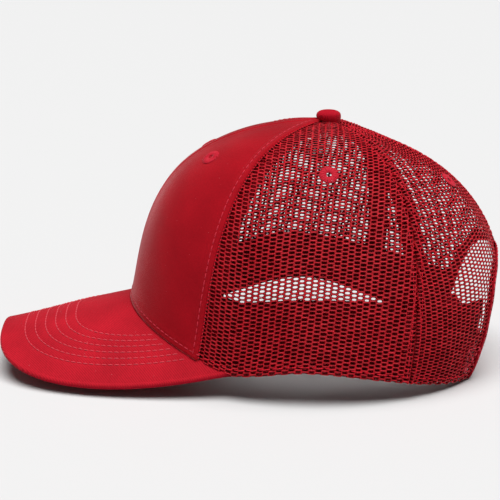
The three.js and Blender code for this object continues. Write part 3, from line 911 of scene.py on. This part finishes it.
def netPanel(name, left, right, leftFold, rightFold, phase, mirror, hasArch):
    net = gore(left, right)
    middle = float((left(0.9) + right(0.9)) / 2)
    top = float(np.interp(shareAtRadius(middle, netValues["topRadius"]), net["u"], net["lengths"]))
    half = float(net["width"].max()) / 2
    column, pitch = netValues["column"], netValues["pitch"]
    reach = int((half + 8) / column) + 1
    rows = int((top + 10) / pitch) + 4
    i, j = np.meshgrid(np.arange(-reach, reach + 1), np.arange(-6, rows), indexing="ij")
    centres = np.stack([i * column, (j + 0.5 * (i % 2)) * pitch], axis=-1).reshape(-1, 2)
    random = np.random.default_rng(netValues["seed"])
    widths = np.interp(centres[:, 1], net["lengths"], net["width"])
    def allowance(fold):
        return np.minimum(netValues["seamFold"] + 1.5 if fold else netValues["tuck"], widths * 0.3)
    keep = centres[:, 0] > -widths / 2 - allowance(leftFold)
    keep &= centres[:, 0] < widths / 2 + allowance(rightFold)
    keep &= (centres[:, 1] > -netValues["hem"] - 1) & (centres[:, 1] < top)
    ragged = random.uniform(0, 1, len(centres)) < netValues["ragged"]
    keep &= ~(ragged & (centres[:, 1] < -netValues["hem"] + 0.6))
    angle, u = placeNet(net, centres, top, leftFold, rightFold, phase)[:2]
    places = crownPoint(angle, u)
    spot = crownPoint(*eyeletSpot(name[:4], left, right))
    keep &= np.linalg.norm(places - spot, axis=1) > netValues["eyeletClear"]
    if hasArch:
        keep &= ~insideArch(places, netValues["archClear"])
    centres = centres[keep]
    flat, faces, relief = flatNet(centres, random)
    angle, u, depth, turned = placeNet(net, flat[:, :2], top, leftFold, rightFold, phase)
    normals = crownNormal(angle, u)
    lift = -netValues["under"] - depth + turned["slack"] + flat[:, 2] * turned["facing"]
    points = crownPoint(angle, u) + normals * lift[:, None]
    sideways = unit(crownPoint(angle + 0.01, u) - crownPoint(angle - 0.01, u))
    points = points + sideways * (flat[:, 2] * turned["sideways"])[:, None]
    points = points + np.array([0, 0, -1]) * (flat[:, 2] * turned["downward"])[:, None]
    piece = makePiece(name, points, faces, "net", flat[:, :2] / 10, mirror=mirror, relief=relief)
    piece["flatWidth"] = float(np.ptp(flat[:, 0]))
    piece["flatLength"] = float(np.ptp(flat[:, 1]))
    piece["flatArea"] = len(centres) * column * pitch
    return piece


def placeNet(net, flat, top, leftFold, rightFold, phase):
    # where a point of the flat net lies: angle, share, depth, and how it is turned there
    x, y = flat[:, 0], flat[:, 1]
    height, rimDepth = foldUnder(y)
    turnY = np.clip((netValues["fold"] - y) / netValues["fold"], 0, math.pi)
    row = np.interp(height, net["lengths"], np.arange(len(net["u"])))
    width = np.interp(row, np.arange(len(net["u"])), net["width"])
    depth = rimDepth
    foldedX = x.copy()
    turnX = np.zeros_like(x)
    signX = np.zeros_like(x)
    for fold, sign in ((leftFold, -1), (rightFold, 1)):
        edge = width / 2 - sign * x
        near = edge < (8 if fold else 6)
        if fold:
            inside, under = foldUnder(edge)
            inside = np.minimum(inside, width / 2)
            foldedX = np.where(near, sign * (width / 2 - inside), foldedX)
            depth = np.where(near, depth + under * 0.9, depth)
            turn = np.clip((netValues["fold"] - edge) / netValues["fold"], 0, math.pi)
            turnX = np.where(near, turn, turnX)
            signX = np.where(near, sign, signX)
            raised = netValues["ridge"] * np.exp(-((edge - 1.7) / 1.5) ** 2)
            depth = depth - np.where(edge > netValues["fold"], raised, 0) * smooth(width / 30)
        else:
            depth = depth + 0.5 * (1 - smooth((edge - 1) / 2))
    u = np.interp(row, np.arange(len(net["u"])), net["u"])
    angle = goreAngle(net, row, foldedX + width / 2)
    slack = netSlack(foldedX, height, top, width, phase)
    turned = {
        "slack": slack, "facing": np.cos(turnY) * np.cos(turnX),
        "sideways": np.sin(turnX) * signX, "downward": np.sin(turnY) * np.cos(turnX),
    }
    return angle, u, depth, turned


netThreadValues = {
    "seam": 2.5, "hem": 3.3, "stitch": {"length": 2.2, "gap": 1.1, "width": 0.46},
    "bead": {"length": 0.95, "gap": 0.85, "width": 0.62},
}


def addNetThreads(side, mirror):
    # topstitching beside the net's seams and over its hem, and a beaded edge along the twill
    tall = clothHeight(sideBackLine(0.5), 1.0) - 10
    seam = netThreadValues["seam"]
    rows = [besideSeam(sideBackLine, distance, 2, tall, 0.42) for distance in (-seam, seam)]
    rows.append(besideSeam(backLine, -seam, arch["height"] + 8, clothHeight(math.pi, 1.0) - 10, 0.3))
    last = math.pi - math.asin(arch["halfWidth"] / 90) - 0.07
    rows.append(alongRim(crown["frontSideSeam"][0] + 0.02, last, netThreadValues["hem"], -0.02, 400))
    stitched = stitchedPiece("netStitching" + side, rows, "netThread", mirror, **netThreadValues["stitch"])
    tall = clothHeight(frontSideLine(0.5), 1.0) - 10
    edge = besideSeam(frontSideLine, frontValues["overlap"] + 0.35, 1, tall, 0.12, 400)
    beads = stitchedPiece("netEdgeBeads" + side, [edge], "netThread", mirror, **netThreadValues["bead"])
    return [stitched, beads]


def addNets():
    for side, mirror in sides:
        panels = (
            ("sideNet", frontSideLine, sideBackLine, False, True, 0.6, False, "side_net_"),
            ("backNet", sideBackLine, backLine, True, True, 2.1, True, "back_net_"),
        )
        for name, left, right, leftFold, rightFold, phase, hasArch, node in panels:
            phase += 0.9 if mirror else 0
            piece = netPanel(name + side, left, right, leftFold, rightFold, phase, mirror, hasArch)
            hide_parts(node + side.lower())
            threads = addNetThreads(side, mirror) if name == "sideNet" else []
            print("net", piece.name, len(piece.data.polygons), "faces")


addNets()
print("nets ready")

# visor

visorValues = {
    "cover": 0.6, "drop": 0.35, "edge": 1.6, "tuck": 2.4, "boardInset": 2.0,
    "rows": 6, "tipRows": (13.4, 5.5), "sideRows": (10.0, 3.1), "quilt": 0.32, "quiltWidth": 0.2,
    "columns": 150, "steps": 84, "wrap": 7, "boardColumns": 60, "boardStep": 4, "boardGap": 0.8,
    "stitch": {"length": 2.6, "gap": 0.8, "width": 0.6}, "stitchSink": 0.12, "rootClear": 1.2,
}


def visorOutline(share, sign, sideInset, tipInset):
    # the nested family of the visor's own outline, from the middle (0) to a corner (1)
    turn = math.pi / 2 * share ** (1 / visor["sidePower"])
    reach = crown["frontLength"] + visor["length"] + visor["cornerY"]
    x = sign * (visor["halfWidth"] - sideInset) * np.sin(turn) ** visor["sidePower"]
    y = visor["cornerY"] - (reach - tipInset) * np.maximum(np.cos(turn), 0) ** visor["tipPower"]
    return x, y


def rowInsets(number):
    side, tip = visorValues["sideRows"], visorValues["tipRows"]
    return side[0] + side[1] * number, tip[0] + tip[1] * number


def rowNumber(x, y):
    # which stitched row a point lies on, in parts of a row, by halving
    reach = crown["frontLength"] + visor["length"] + visor["cornerY"]
    ahead = np.maximum(visor["cornerY"] - y, 0)
    low, high = np.full_like(x, -3.0), np.full_like(x, 12.0)
    for step in range(24):
        middle = (low + high) / 2
        side, tip = rowInsets(middle)
        across = np.minimum(np.abs(x) / (visor["halfWidth"] - side), 4) ** (2 / visor["sidePower"])
        along = np.minimum(ahead / (reach - tip), 4) ** (2 / visor["tipPower"])
        outside = across + along > 1
        high, low = np.where(outside, middle, high), np.where(outside, low, middle)
    return (low + high) / 2


def quilted(x, y):
    row = rowNumber(x, y)
    width, depth = visorValues["quiltWidth"], visorValues["quilt"]
    return sum(groove(row - number, width, depth) for number in range(visorValues["rows"]))


def gridNormals(grid):
    across = np.gradient(grid, axis=1)
    along = np.gradient(grid, axis=0)
    return unit(np.cross(across, along))


def visorGrid(side, inset=0.0, columns=None):
    # rows from under the crown out to the edge and round it; side is 1 on top and -1 below
    across = np.linspace(1, -1, (columns or visorValues["columns"]) + 1) * side
    share, sign = np.abs(across), np.sign(across)
    angle = visor["cornerAngle"] * share
    root = rimRadius(angle) - visorValues["tuck"]
    edge = visorValues["edge"]
    edgeX, edgeY = visorOutline(share, sign, edge + inset, edge + inset)
    outX, outY = visorOutline(share, sign, inset, inset)
    t = np.linspace(0, 1, visorValues["steps"] + 1)[:, None]
    x = sign * root * np.sin(angle) * (1 - t) + edgeX * t
    y = -root * np.cos(angle) * (1 - t) + edgeY * t
    dip = quilted(x, y) * smooth(t * 8)
    z = visorHeight(x, y) - visorValues["drop"] - edge + side * (edge + dip)
    turn = np.linspace(0, math.pi / 2, visorValues["wrap"] + 1)[1:, None]
    wrapX = edgeX + (outX - edgeX) * np.sin(turn)
    wrapY = edgeY + (outY - edgeY) * np.sin(turn)
    wrapZ = visorHeight(edgeX, edgeY) - visorValues["drop"] - edge + side * edge * np.cos(turn)
    flat = np.stack([x, y, z], axis=-1)
    return np.concatenate([flat, np.stack([wrapX, wrapY, wrapZ], axis=-1)])


def visorSheetPiece(name, side, finish):
    outer = visorGrid(side)
    inner = outer - gridNormals(outer) * visorValues["cover"]
    return makeSheet(name, outer, inner, finish, outer[..., :2] / 10)


def visorStitchRows(side):
    rows = []
    across = np.linspace(-1, 1, 500)
    share, sign = np.abs(across), np.sign(across)
    for number in range(visorValues["rows"]):
        x, y = visorOutline(share, sign, *rowInsets(number))
        angle = np.arctan2(np.abs(x), -y)
        clear = np.hypot(x, y) > rimRadius(angle) + visorValues["rootClear"]
        x, y = x[clear], y[clear]
        z = visorHeight(x, y) - visorValues["drop"]
        sink = visorValues["stitchSink"]
        z = z - sink if side > 0 else z - 2 * visorValues["edge"] + sink
        bend = x / np.sqrt(visor["archRadius"] ** 2 - x ** 2)
        slope = np.stack([bend, 0 * x - visor["slope"], 0 * x + 1], axis=1)
        rows.append((np.stack([x, y, z], axis=1), unit(slope) * side))
    return rows


def addVisor():
    top = visorSheetPiece("visorTopCover", 1, "visorTwill")
    under = visorSheetPiece("visorUnderCover", -1, "underTwill")
    values = visorValues["stitch"]
    topThread = stitchedPiece("visorTopStitching", visorStitchRows(1), "visorThread", **values)
    underThread = stitchedPiece("visorUnderStitching", visorStitchRows(-1), **values)
    grid = visorGrid(1, visorValues["boardInset"], visorValues["boardColumns"])
    upper = grid[:visorValues["steps"] + 1:visorValues["boardStep"]] - (0, 0, visorValues["boardGap"])
    lower = upper - (0, 0, 2 * visorValues["edge"] - 2 * visorValues["boardGap"])
    board = makeSheet("visorBoard", upper, lower, "board")
    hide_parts("visor_top_cover")
    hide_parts("visor_under_cover")
    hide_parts("visor_board")
    across = 2 * visor["halfWidth"] + 4
    along = crown["frontLength"] + visor["length"] + visor["cornerY"] + 6
    declareSheet(top, across, along)
    declareSheet(under, across, along)


addVisor()
print("visor ready")

# inside the crown

insideValues = {
    "stiffener": -0.95, "frontTape": -1.95, "netTape": -2.0, "pad": -2.95, "band": -4.25,
    "stiffenerInset": 5, "stiffenerTop": 24, "tapeWidth": 12, "tapeTop": 9, "tapeStitch": 1.4,
    "tapeThickness": 0.55, "bandEnd": math.radians(147), "bandReach": math.radians(11.5),
    "bandShare": 0.27, "bandPower": 1.2,
    "bandAngles": (-180, 0, 45, 61, 80, 97, 114, 147), "bandHeights": (35, 35, 36.5, 38, 36.5, 38.5, 41, 43),
    "bandBottom": 0.2, "bandStitch": 3.2, "padBottom": 4, "padHeight": 30, "padEnd": math.radians(38),
}


def tapeLift(base):
    def lift(place):
        edge = np.minimum(place["left"], place["right"])
        rolled = -0.2 * np.exp(-(edge / 0.5) ** 2)
        return base + rolled + 0.12 * np.sin(place["height"] * 0.35) * smooth(edge / 3)
    return lift


def addTape(name, node, line, base, low, mirror=False):
    half = insideValues["tapeWidth"] / 2
    tape = crownSheet(
        name, "tapeCloth", besideLine(line, -half, 14), besideLine(line, half, 14), lambda a: shareAt(a, low),
        lambda a: shareAtRadius(a, insideValues["tapeTop"]), 12, 110,
        tapeLift(base), insideValues["tapeThickness"], mirror,
    )
    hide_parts(node)
    middle = float(line(0.5))
    tall = clothHeight(middle, 1.0) - 14
    rows = []
    for direction in (-1, 1):
        distance = direction * (half - insideValues["tapeStitch"])
        path, normals = besideSeam(line, distance, low + 1, tall, base - insideValues["tapeThickness"])
        rows.append((path, -normals))
    thread = stitchedPiece(name + "Stitching", rows, mirror=mirror, width=0.5)
    declareCrownSheet(tape)


def addInside():
    stiffenerEdge = besideLine(frontSideLine, -insideValues["stiffenerInset"], 8)
    for side, mirror in sides:
        stiffener = crownSheet(
            "stiffener" + side, "buckram", frontLine, stiffenerEdge, lambda a: shareAt(a, 3),
            lambda a: shareAtRadius(a, insideValues["stiffenerTop"]), 40, 50,
            insideValues["stiffener"], 0.6, mirror,
        )
        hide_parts("stiffener_" + side.lower())
        declareCrownSheet(stiffener)
        addTape("frontSideTape" + side, "front_side_tape_" + side.lower(), frontSideLine,
                insideValues["frontTape"], 3, mirror)
        addTape("sideBackTape" + side, "side_back_tape_" + side.lower(), sideBackLine,
                insideValues["netTape"], 3, mirror)
    addTape("frontSeamTape", "front_seam_tape", frontLine, insideValues["frontTape"], 3)
    addTape("backSeamTape", "back_seam_tape", backLine, insideValues["netTape"], arch["height"] + 10)
    addSweatband()


def bandHeight(angle):
    return np.interp(np.degrees(angle), insideValues["bandAngles"], insideValues["bandHeights"])


def bandLift(place):
    fromTop = place["fromTop"]
    sewn = 1.9 * (1 - smooth((place["height"] - 0.5) / 4.5))
    tabs = 0.6 * smooth((np.abs(np.degrees(place["angle"])) - 128) / 8)
    wave = 0.35 * np.sin(place["angle"] * 9 + 1) + 0.25 * np.sin(place["angle"] * 23)
    roll = -0.5 * np.exp(-(fromTop / 0.8) ** 2)
    seam = groove(place["height"] - 4, 0.8, 0.2) + groove(fromTop - insideValues["bandStitch"], 0.7, 0.2)
    return insideValues["band"] + sewn - tabs + wave * smooth(place["height"] / 30) * 0.8 + roll + seam


def bandEnd(u):
    # the band's end follows the side of the back opening
    rise = np.clip(u / insideValues["bandShare"], 0, 1)
    return insideValues["bandEnd"] + insideValues["bandReach"] * rise ** insideValues["bandPower"]


def addSweatband():
    end = insideValues["bandEnd"]
    # the band's cloth colour is painted dark for the shade inside the crown
    band = crownSheet(
        "sweatbandCloth", "shadeDarkenedTwill", lambda u: -bandEnd(u), bandEnd,
        lambda a: shareAt(a, insideValues["bandBottom"]), lambda a: shareAt(a, bandHeight(a)),
        300, 36, bandLift, 1.3,
    )
    rows = []
    angles = np.linspace(-end + 0.02, end - 0.02, 700)
    for height, depth in ((4.2, 1.1), (bandHeight(angles) - insideValues["bandStitch"], 1.35)):
        path, normals = crownRow(angles, shareAt(angles, height), insideValues["band"] - depth)
        rows.append((path, -normals))
    thread = stitchedPiece("sweatbandStitching", rows)
    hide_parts("sweatband")
    declareCrownSheet(band)
    def padLift(place):
        edge = np.minimum(np.minimum(place["left"], place["right"]),
                          np.minimum(place["height"] - insideValues["padBottom"], place["fromTop"]))
        return insideValues["pad"] - 0.35 * np.exp(-edge / 2.2)
    padEnd = insideValues["padEnd"]
    pad = crownSheet(
        "foreheadPad", "foam", lambda u: 0 * u - padEnd, lambda u: 0 * u + padEnd,
        lambda a: shareAt(a, insideValues["padBottom"]), lambda a: shareAt(a, insideValues["padHeight"]),
        70, 24, padLift, 0.75,
    )
    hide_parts("forehead_pad")


addInside()
print("inside ready")

# back opening

bindingSection = (  # distance from the opening's edge, height over the crown
    (3.1, -0.25), (2.9, 0.22), (2.3, 0.34), (1.5, 0.36), (0.7, 0.34), (0.1, 0.15),
    (-0.45, -0.45), (0.1, -1.3), (0.8, -1.6), (2.0, -1.62), (3.2, -1.62), (4.3, -1.5), (4.5, -1.1),
)


def crownAtXZ(x, z):
    # angle and share of the crown's back where it stands over a given x and height
    angle = math.pi - np.arcsin(np.clip(x / 95, -1, 1))
    u = np.clip(z / 150, 0.01, 0.9)
    step = 1e-4
    for number in range(30):
        here = crownPoint(angle, u)
        byAngle = (crownPoint(angle + step, u) - here) / step
        byShare = (crownPoint(angle, u + step) - here) / step
        missX, missZ = x - here[..., 0], z - here[..., 2]
        whole = byAngle[..., 0] * byShare[..., 2] - byShare[..., 0] * byAngle[..., 2]
        angle = angle + 0.8 * (missX * byShare[..., 2] - byShare[..., 0] * missZ) / whole
        u = np.clip(u + 0.8 * (byAngle[..., 0] * missZ - missX * byAngle[..., 2]) / whole, 0, 1)
    return angle, u


def archPoint(turn, margin, lift):
    c, s = np.cos(turn), np.sin(turn)
    power = 2 / arch["power"]
    x = (arch["halfWidth"] + margin) * np.sign(c) * np.abs(c) ** power
    z = (arch["height"] + margin) * np.abs(s) ** power
    angle, u = crownAtXZ(x, np.maximum(z, 0.6))
    normals = crownNormal(angle, u)
    return crownPoint(angle, u) + normals * lift[..., None], normals


def evenTurns(count):
    # turns that stand evenly along the arch
    turn = np.linspace(0.0002, math.pi - 0.0002, 900)
    x = np.sign(np.cos(turn)) * np.abs(np.cos(turn)) ** (2 / arch["power"]) * arch["halfWidth"]
    z = np.abs(np.sin(turn)) ** (2 / arch["power"]) * arch["height"]
    travelled = np.concatenate([[0], np.cumsum(np.hypot(np.diff(x), np.diff(z)))])
    return np.interp(np.linspace(0, travelled[-1], count), travelled, turn)


def addArchBinding():
    turns = evenTurns(150)
    margins, lifts = np.array(bindingSection).T
    rows = np.broadcast_to(turns[None, :], (len(margins), len(turns)))
    ripple = 0.12 * np.sin(np.linspace(0, 60, len(turns)))[None, :]
    lift = np.broadcast_to(lifts[:, None], rows.shape) + ripple
    margin = np.broadcast_to(margins[:, None], rows.shape)
    outer, normals = archPoint(rows, margin, lift)
    facing = gridNormals(outer)
    if np.sum(facing[2] * normals[2]) < 0:
        outer, facing = outer[:, ::-1], -facing[:, ::-1]
    inner = outer - facing * 0.4
    steps = np.linalg.norm(np.diff(outer[3], axis=0), axis=1)
    run = np.concatenate([[0], np.cumsum(steps)])
    across = np.linspace(0, 10, len(margins))
    uv = np.stack(np.broadcast_arrays(run[None, :], across[:, None]), axis=-1) / 10
    binding = makeSheet("archBinding", outer, inner, "tapeCloth", uv)
    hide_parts("arch_binding")
    fine = evenTurns(400)[6:-6]
    out, outNormals = archPoint(fine, 1.9 + 0 * fine, 0.42 + 0 * fine)
    back, backNormals = archPoint(fine, 3.2 + 0 * fine, -1.66 + 0 * fine)
    thread = stitchedPiece("archBindingStitching", [(out, outNormals), (back, -backNormals)], width=0.55)
    declareSheet(binding, float(run[-1]) + 1, 12)


addArchBinding()
print("arch binding ready")

# snap strap

strapValues = {
    "bevel": 0.28, "y": 82.9, "z": 12, "lean": math.radians(21), "width": 17, "thickness": 1.2,
    "rootX": 41.8, "tabX": 45.2, "tabStart": 44, "tabEnd": 57, "tabLow": 3.5, "tabHigh": 20.5,
    "holeDepths": (0, 1.8), "pegDepths": (1.5, 3.4), "neckInset": 0.15, "neckMargin": 0.8,
    "neckThickness": 0.85,
}


def copyOfNode(node, name, body):
    # the plain CAD solid, merged and given soft moulded edges
    bpy.ops.object.select_all(action="DESELECT")
    piece = bpy.data.objects.new(name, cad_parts[node].data.copy())
    bpy.context.collection.objects.link(piece)
    bpy.context.view_layer.objects.active = piece
    piece.select_set(True)
    bpy.ops.object.mode_set(mode="EDIT")
    bpy.ops.mesh.select_all(action="SELECT")
    bpy.ops.mesh.remove_doubles(threshold=0.00002)
    bpy.ops.mesh.dissolve_limited(angle_limit=math.radians(3))
    bpy.ops.object.mode_set(mode="OBJECT")
    edges = piece.modifiers.new("softEdges", "BEVEL")
    edges.width = strapValues["bevel"] * 0.001
    edges.segments = 3
    edges.limit_method = "ANGLE"
    edges.angle_limit = math.radians(50)
    bpy.ops.object.modifier_apply(modifier=edges.name)
    bpy.ops.object.shade_smooth_by_angle(angle=math.radians(35))
    finishPiece(piece, "strap", body)
    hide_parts(node)


def tabAngle(x):
    return math.pi - np.arcsin(x / float(rimRadius(math.radians(150))))


def addHinge(name, side, strapDepth, tabDepth):
    # the thin moulded neck between a strap and its sewn root
    v = np.linspace(-0.5, 0.5, 13)[:, None]
    t = np.linspace(0, 1, 15)[None, :]
    lean = strapValues["lean"]
    up = np.array([0, math.sin(lean), math.cos(lean)])
    inward = np.array([0, -math.cos(lean), math.sin(lean)])
    inset, margin = strapValues["neckInset"], strapValues["neckMargin"]
    root = np.array([strapValues["rootX"], strapValues["y"], strapValues["z"]])
    root = root + inward * (strapDepth + inset)
    strapEnd = root + up * (v * (strapValues["width"] - margin))[..., None]
    middle = (strapValues["tabLow"] + strapValues["tabHigh"]) / 2
    angle = tabAngle(strapValues["tabX"]) + 0 * v
    share = shareAt(angle, middle + v * (strapValues["tabHigh"] - strapValues["tabLow"] - margin))
    tabSide = crownPoint(angle, share) - crownNormal(angle, share) * (tabDepth + inset)
    part = smooth(t)[..., None]
    outer = strapEnd * (1 - part) + tabSide * part
    outer[..., 0] = strapValues["rootX"] * (1 - t) + strapValues["tabX"] * t
    facing = gridNormals(outer)
    if facing[..., 1].mean() < 0:
        outer, facing = outer[:, ::-1], -facing[:, ::-1]
    inner = outer - facing * strapValues["neckThickness"]
    neck = makeSheet(name, outer, inner, "strap", body=None, mirror=side < 0)
    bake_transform(neck)


def addTabStitches(name, side, tabDepth):
    # a sewn box through the tab, seen inside on the plastic and outside on the net
    low, high = strapValues["tabLow"] + 1.8, strapValues["tabHigh"] - 1.8
    near, far = tabAngle(strapValues["tabStart"] + 2.2), tabAngle(strapValues["tabEnd"] - 1.8)
    ends = [(near, low, near, high), (far, low, far, high), (near, low, far, low),
            (near, high, far, high), (near, low, far, high), (near, high, far, low)]
    rows = []
    for startAngle, startHeight, endAngle, endHeight in ends:
        angles = np.linspace(startAngle, endAngle, 30)
        shares = shareAt(angles, np.linspace(startHeight, endHeight, 30))
        path, normals = crownRow(angles, shares, -(tabDepth + strapValues["thickness"] + 0.03))
        rows.append((path, -normals))
        rows.append(crownRow(angles, shares, 0.08))
    stitchedPiece(name, rows, mirror=side < 0, length=2.2, gap=0.8, width=0.5)


def addStraps():
    halves = (("hole", -1, strapValues["holeDepths"]), ("peg", 1, strapValues["pegDepths"]))
    for half, side, (strapDepth, tabDepth) in halves:
        addHinge(half + "StrapHinge", side, strapDepth, tabDepth)
    for half, side, (strapDepth, tabDepth) in halves:
        addTabStitches(half + "TabStitching", side, tabDepth)
    for half in ("hole", "peg"):
        copyOfNode(half + "_strap", half + "Strap", half + "_strap")
    for half in ("hole", "peg"):
        copyOfNode(half + "_strap_tab", half + "StrapTab", "crown")


addStraps()
print("snap strap ready")

# button and eyelets

buttonValues = {"radius": 6.7, "height": 5.0, "cut": 2.0, "sink": 0.35, "backDrop": 2.0, "folds": 11}


def addButton():
    # a ball cut flat, squeezed to a low dome, with a turned-under edge
    bpy.ops.object.select_all(action="DESELECT")
    bpy.ops.mesh.primitive_uv_sphere_add(segments=64, ring_count=32, radius=buttonValues["radius"])
    dome = bpy.context.object
    cut, radius = buttonValues["cut"], buttonValues["radius"]
    bpy.ops.object.mode_set(mode="EDIT")
    bpy.ops.mesh.select_all(action="SELECT")
    bpy.ops.mesh.bisect(plane_co=(0, 0, -cut), plane_no=(0, 0, 1), clear_inner=True, use_fill=True)
    bpy.ops.object.mode_set(mode="OBJECT")
    points = np.array([vertex.co for vertex in dome.data.vertices])
    flat = np.hypot(points[:, 0], points[:, 1])
    share = np.clip((points[:, 2] + cut) / (radius + cut), 0, 1)
    turn = np.arctan2(points[:, 1], points[:, 0])
    height = buttonValues["height"] * share ** 0.7
    folds = 1 + 0.022 * np.cos(turn * buttonValues["folds"]) * (1 - smooth(share / 0.35))
    swell = (1 - 0.05 * (1 - smooth(share / 0.25))) * folds
    widened = radius * (flat / radius) ** 0.7
    placed = np.stack([np.cos(turn) * widened * swell, np.sin(turn) * widened * swell, height], axis=1)
    # the crown falls away behind the button, so the back of its edge hangs lower
    backward = smooth(placed[:, 1] / radius / 2 + 0.5)
    placed[:, 2] -= buttonValues["backDrop"] * backward * (1 - smooth(share / 0.5))
    faces = [list(polygon.vertices) for polygon in dome.data.polygons]
    bpy.data.objects.remove(dome)
    seat = crown["topHeight"] + crown["buttonSeat"] - buttonValues["sink"]
    placed = placed + (0, crown["topShift"], seat)
    button = makePiece("buttonCap", placed, faces, "buttonCloth", placed[:, :2] / 10)
    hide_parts("button_cap")
    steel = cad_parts["button_rivet"]
    steel.data.materials.clear()
    steel.data.materials.append(finishes["steel"])


eyeletValues = {
    "inner": 1.35, "outer": 4.9, "stitches": 44, "thread": 0.36, "thin": 0.26, "rise": 0.75, "sink": 0.25,
    "sway": 0.10, "uneven": 0.14, "turnUneven": 0.02, "steps": 8, "sides": 6, "seed": 3,
}


def eyeletStrand(length, random):
    # one satin stitch from the hole's rim over the ring's back to its outer edge
    steps, corners = eyeletValues["steps"], eyeletValues["sides"]
    t = np.linspace(0, 1, steps + 1)
    inner, outer = eyeletValues["inner"], eyeletValues["outer"] + length
    reach = inner + (outer - inner) * t
    arc = np.sin(math.pi * np.clip(t * 0.86 + 0.1, 0, 1)) ** 0.7
    rise = eyeletValues["rise"] * arc - eyeletValues["sink"]
    sway = eyeletValues["sway"] * random.normal() * np.sin(math.pi * t)
    centre = np.stack([reach, sway, rise], axis=1)
    corner = np.linspace(0, 2 * math.pi, corners, endpoint=False)
    wide = (eyeletValues["thread"] * (0.7 + 0.5 * t))[:, None]
    section = [0 * wide * corner, wide * np.cos(corner), eyeletValues["thin"] * np.sin(corner) + 0 * wide]
    points = centre[:, None, :] + np.stack(section, axis=-1)
    faces = []
    for row in range(0, steps * corners, corners):
        for here in range(corners):
            after = (here + 1) % corners
            faces.append([row + corners + here, row + corners + after, row + after, row + here])
    faces.append(list(range(corners)))
    faces.append([steps * corners + here for here in range(corners)][::-1])
    return points.reshape(-1, 3), faces


def addEyelet(where, side, left, right, lift, mirror):
    random = np.random.default_rng(eyeletValues["seed"])
    angle, u = eyeletSpot(where, left, right)
    normal = crownNormal(angle, u)
    centre = crownPoint(angle, u) + normal * lift
    across = unit(crownPoint(angle + 0.01, u) - crownPoint(angle - 0.01, u))
    up = np.cross(normal, across)
    turnTo = np.stack([across, up, normal])
    strands = []
    for number in range(eyeletValues["stitches"]):
        strand, faces = eyeletStrand(random.normal(0, eyeletValues["uneven"]), random)
        turn = 2 * math.pi * number / eyeletValues["stitches"]
        turn += random.normal(0, eyeletValues["turnUneven"])
        c, s = math.cos(turn), math.sin(turn)
        spin = np.array([[c, s, 0], [-s, c, 0], [0, 0, 1]])
        strands.append((strand @ spin @ turnTo + centre, faces))
    name = where + "Eyelet" + side
    eyelet = makePiece(name, *gathered(strands), "embroideryThread", mirror=mirror)
    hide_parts(where + "_eyelet_" + side.lower())


def addEyelets():
    for side, mirror in sides:
        for name, left, right, lift in (
            ("front", frontLine, frontSideLine, 0.35), ("side", frontSideLine, sideBackLine, 0.1),
            ("back", sideBackLine, backLine, 0.1),
        ):
            addEyelet(name, side, left, right, lift, mirror)


addButton()
addEyelets()
print("button and eyelets ready")
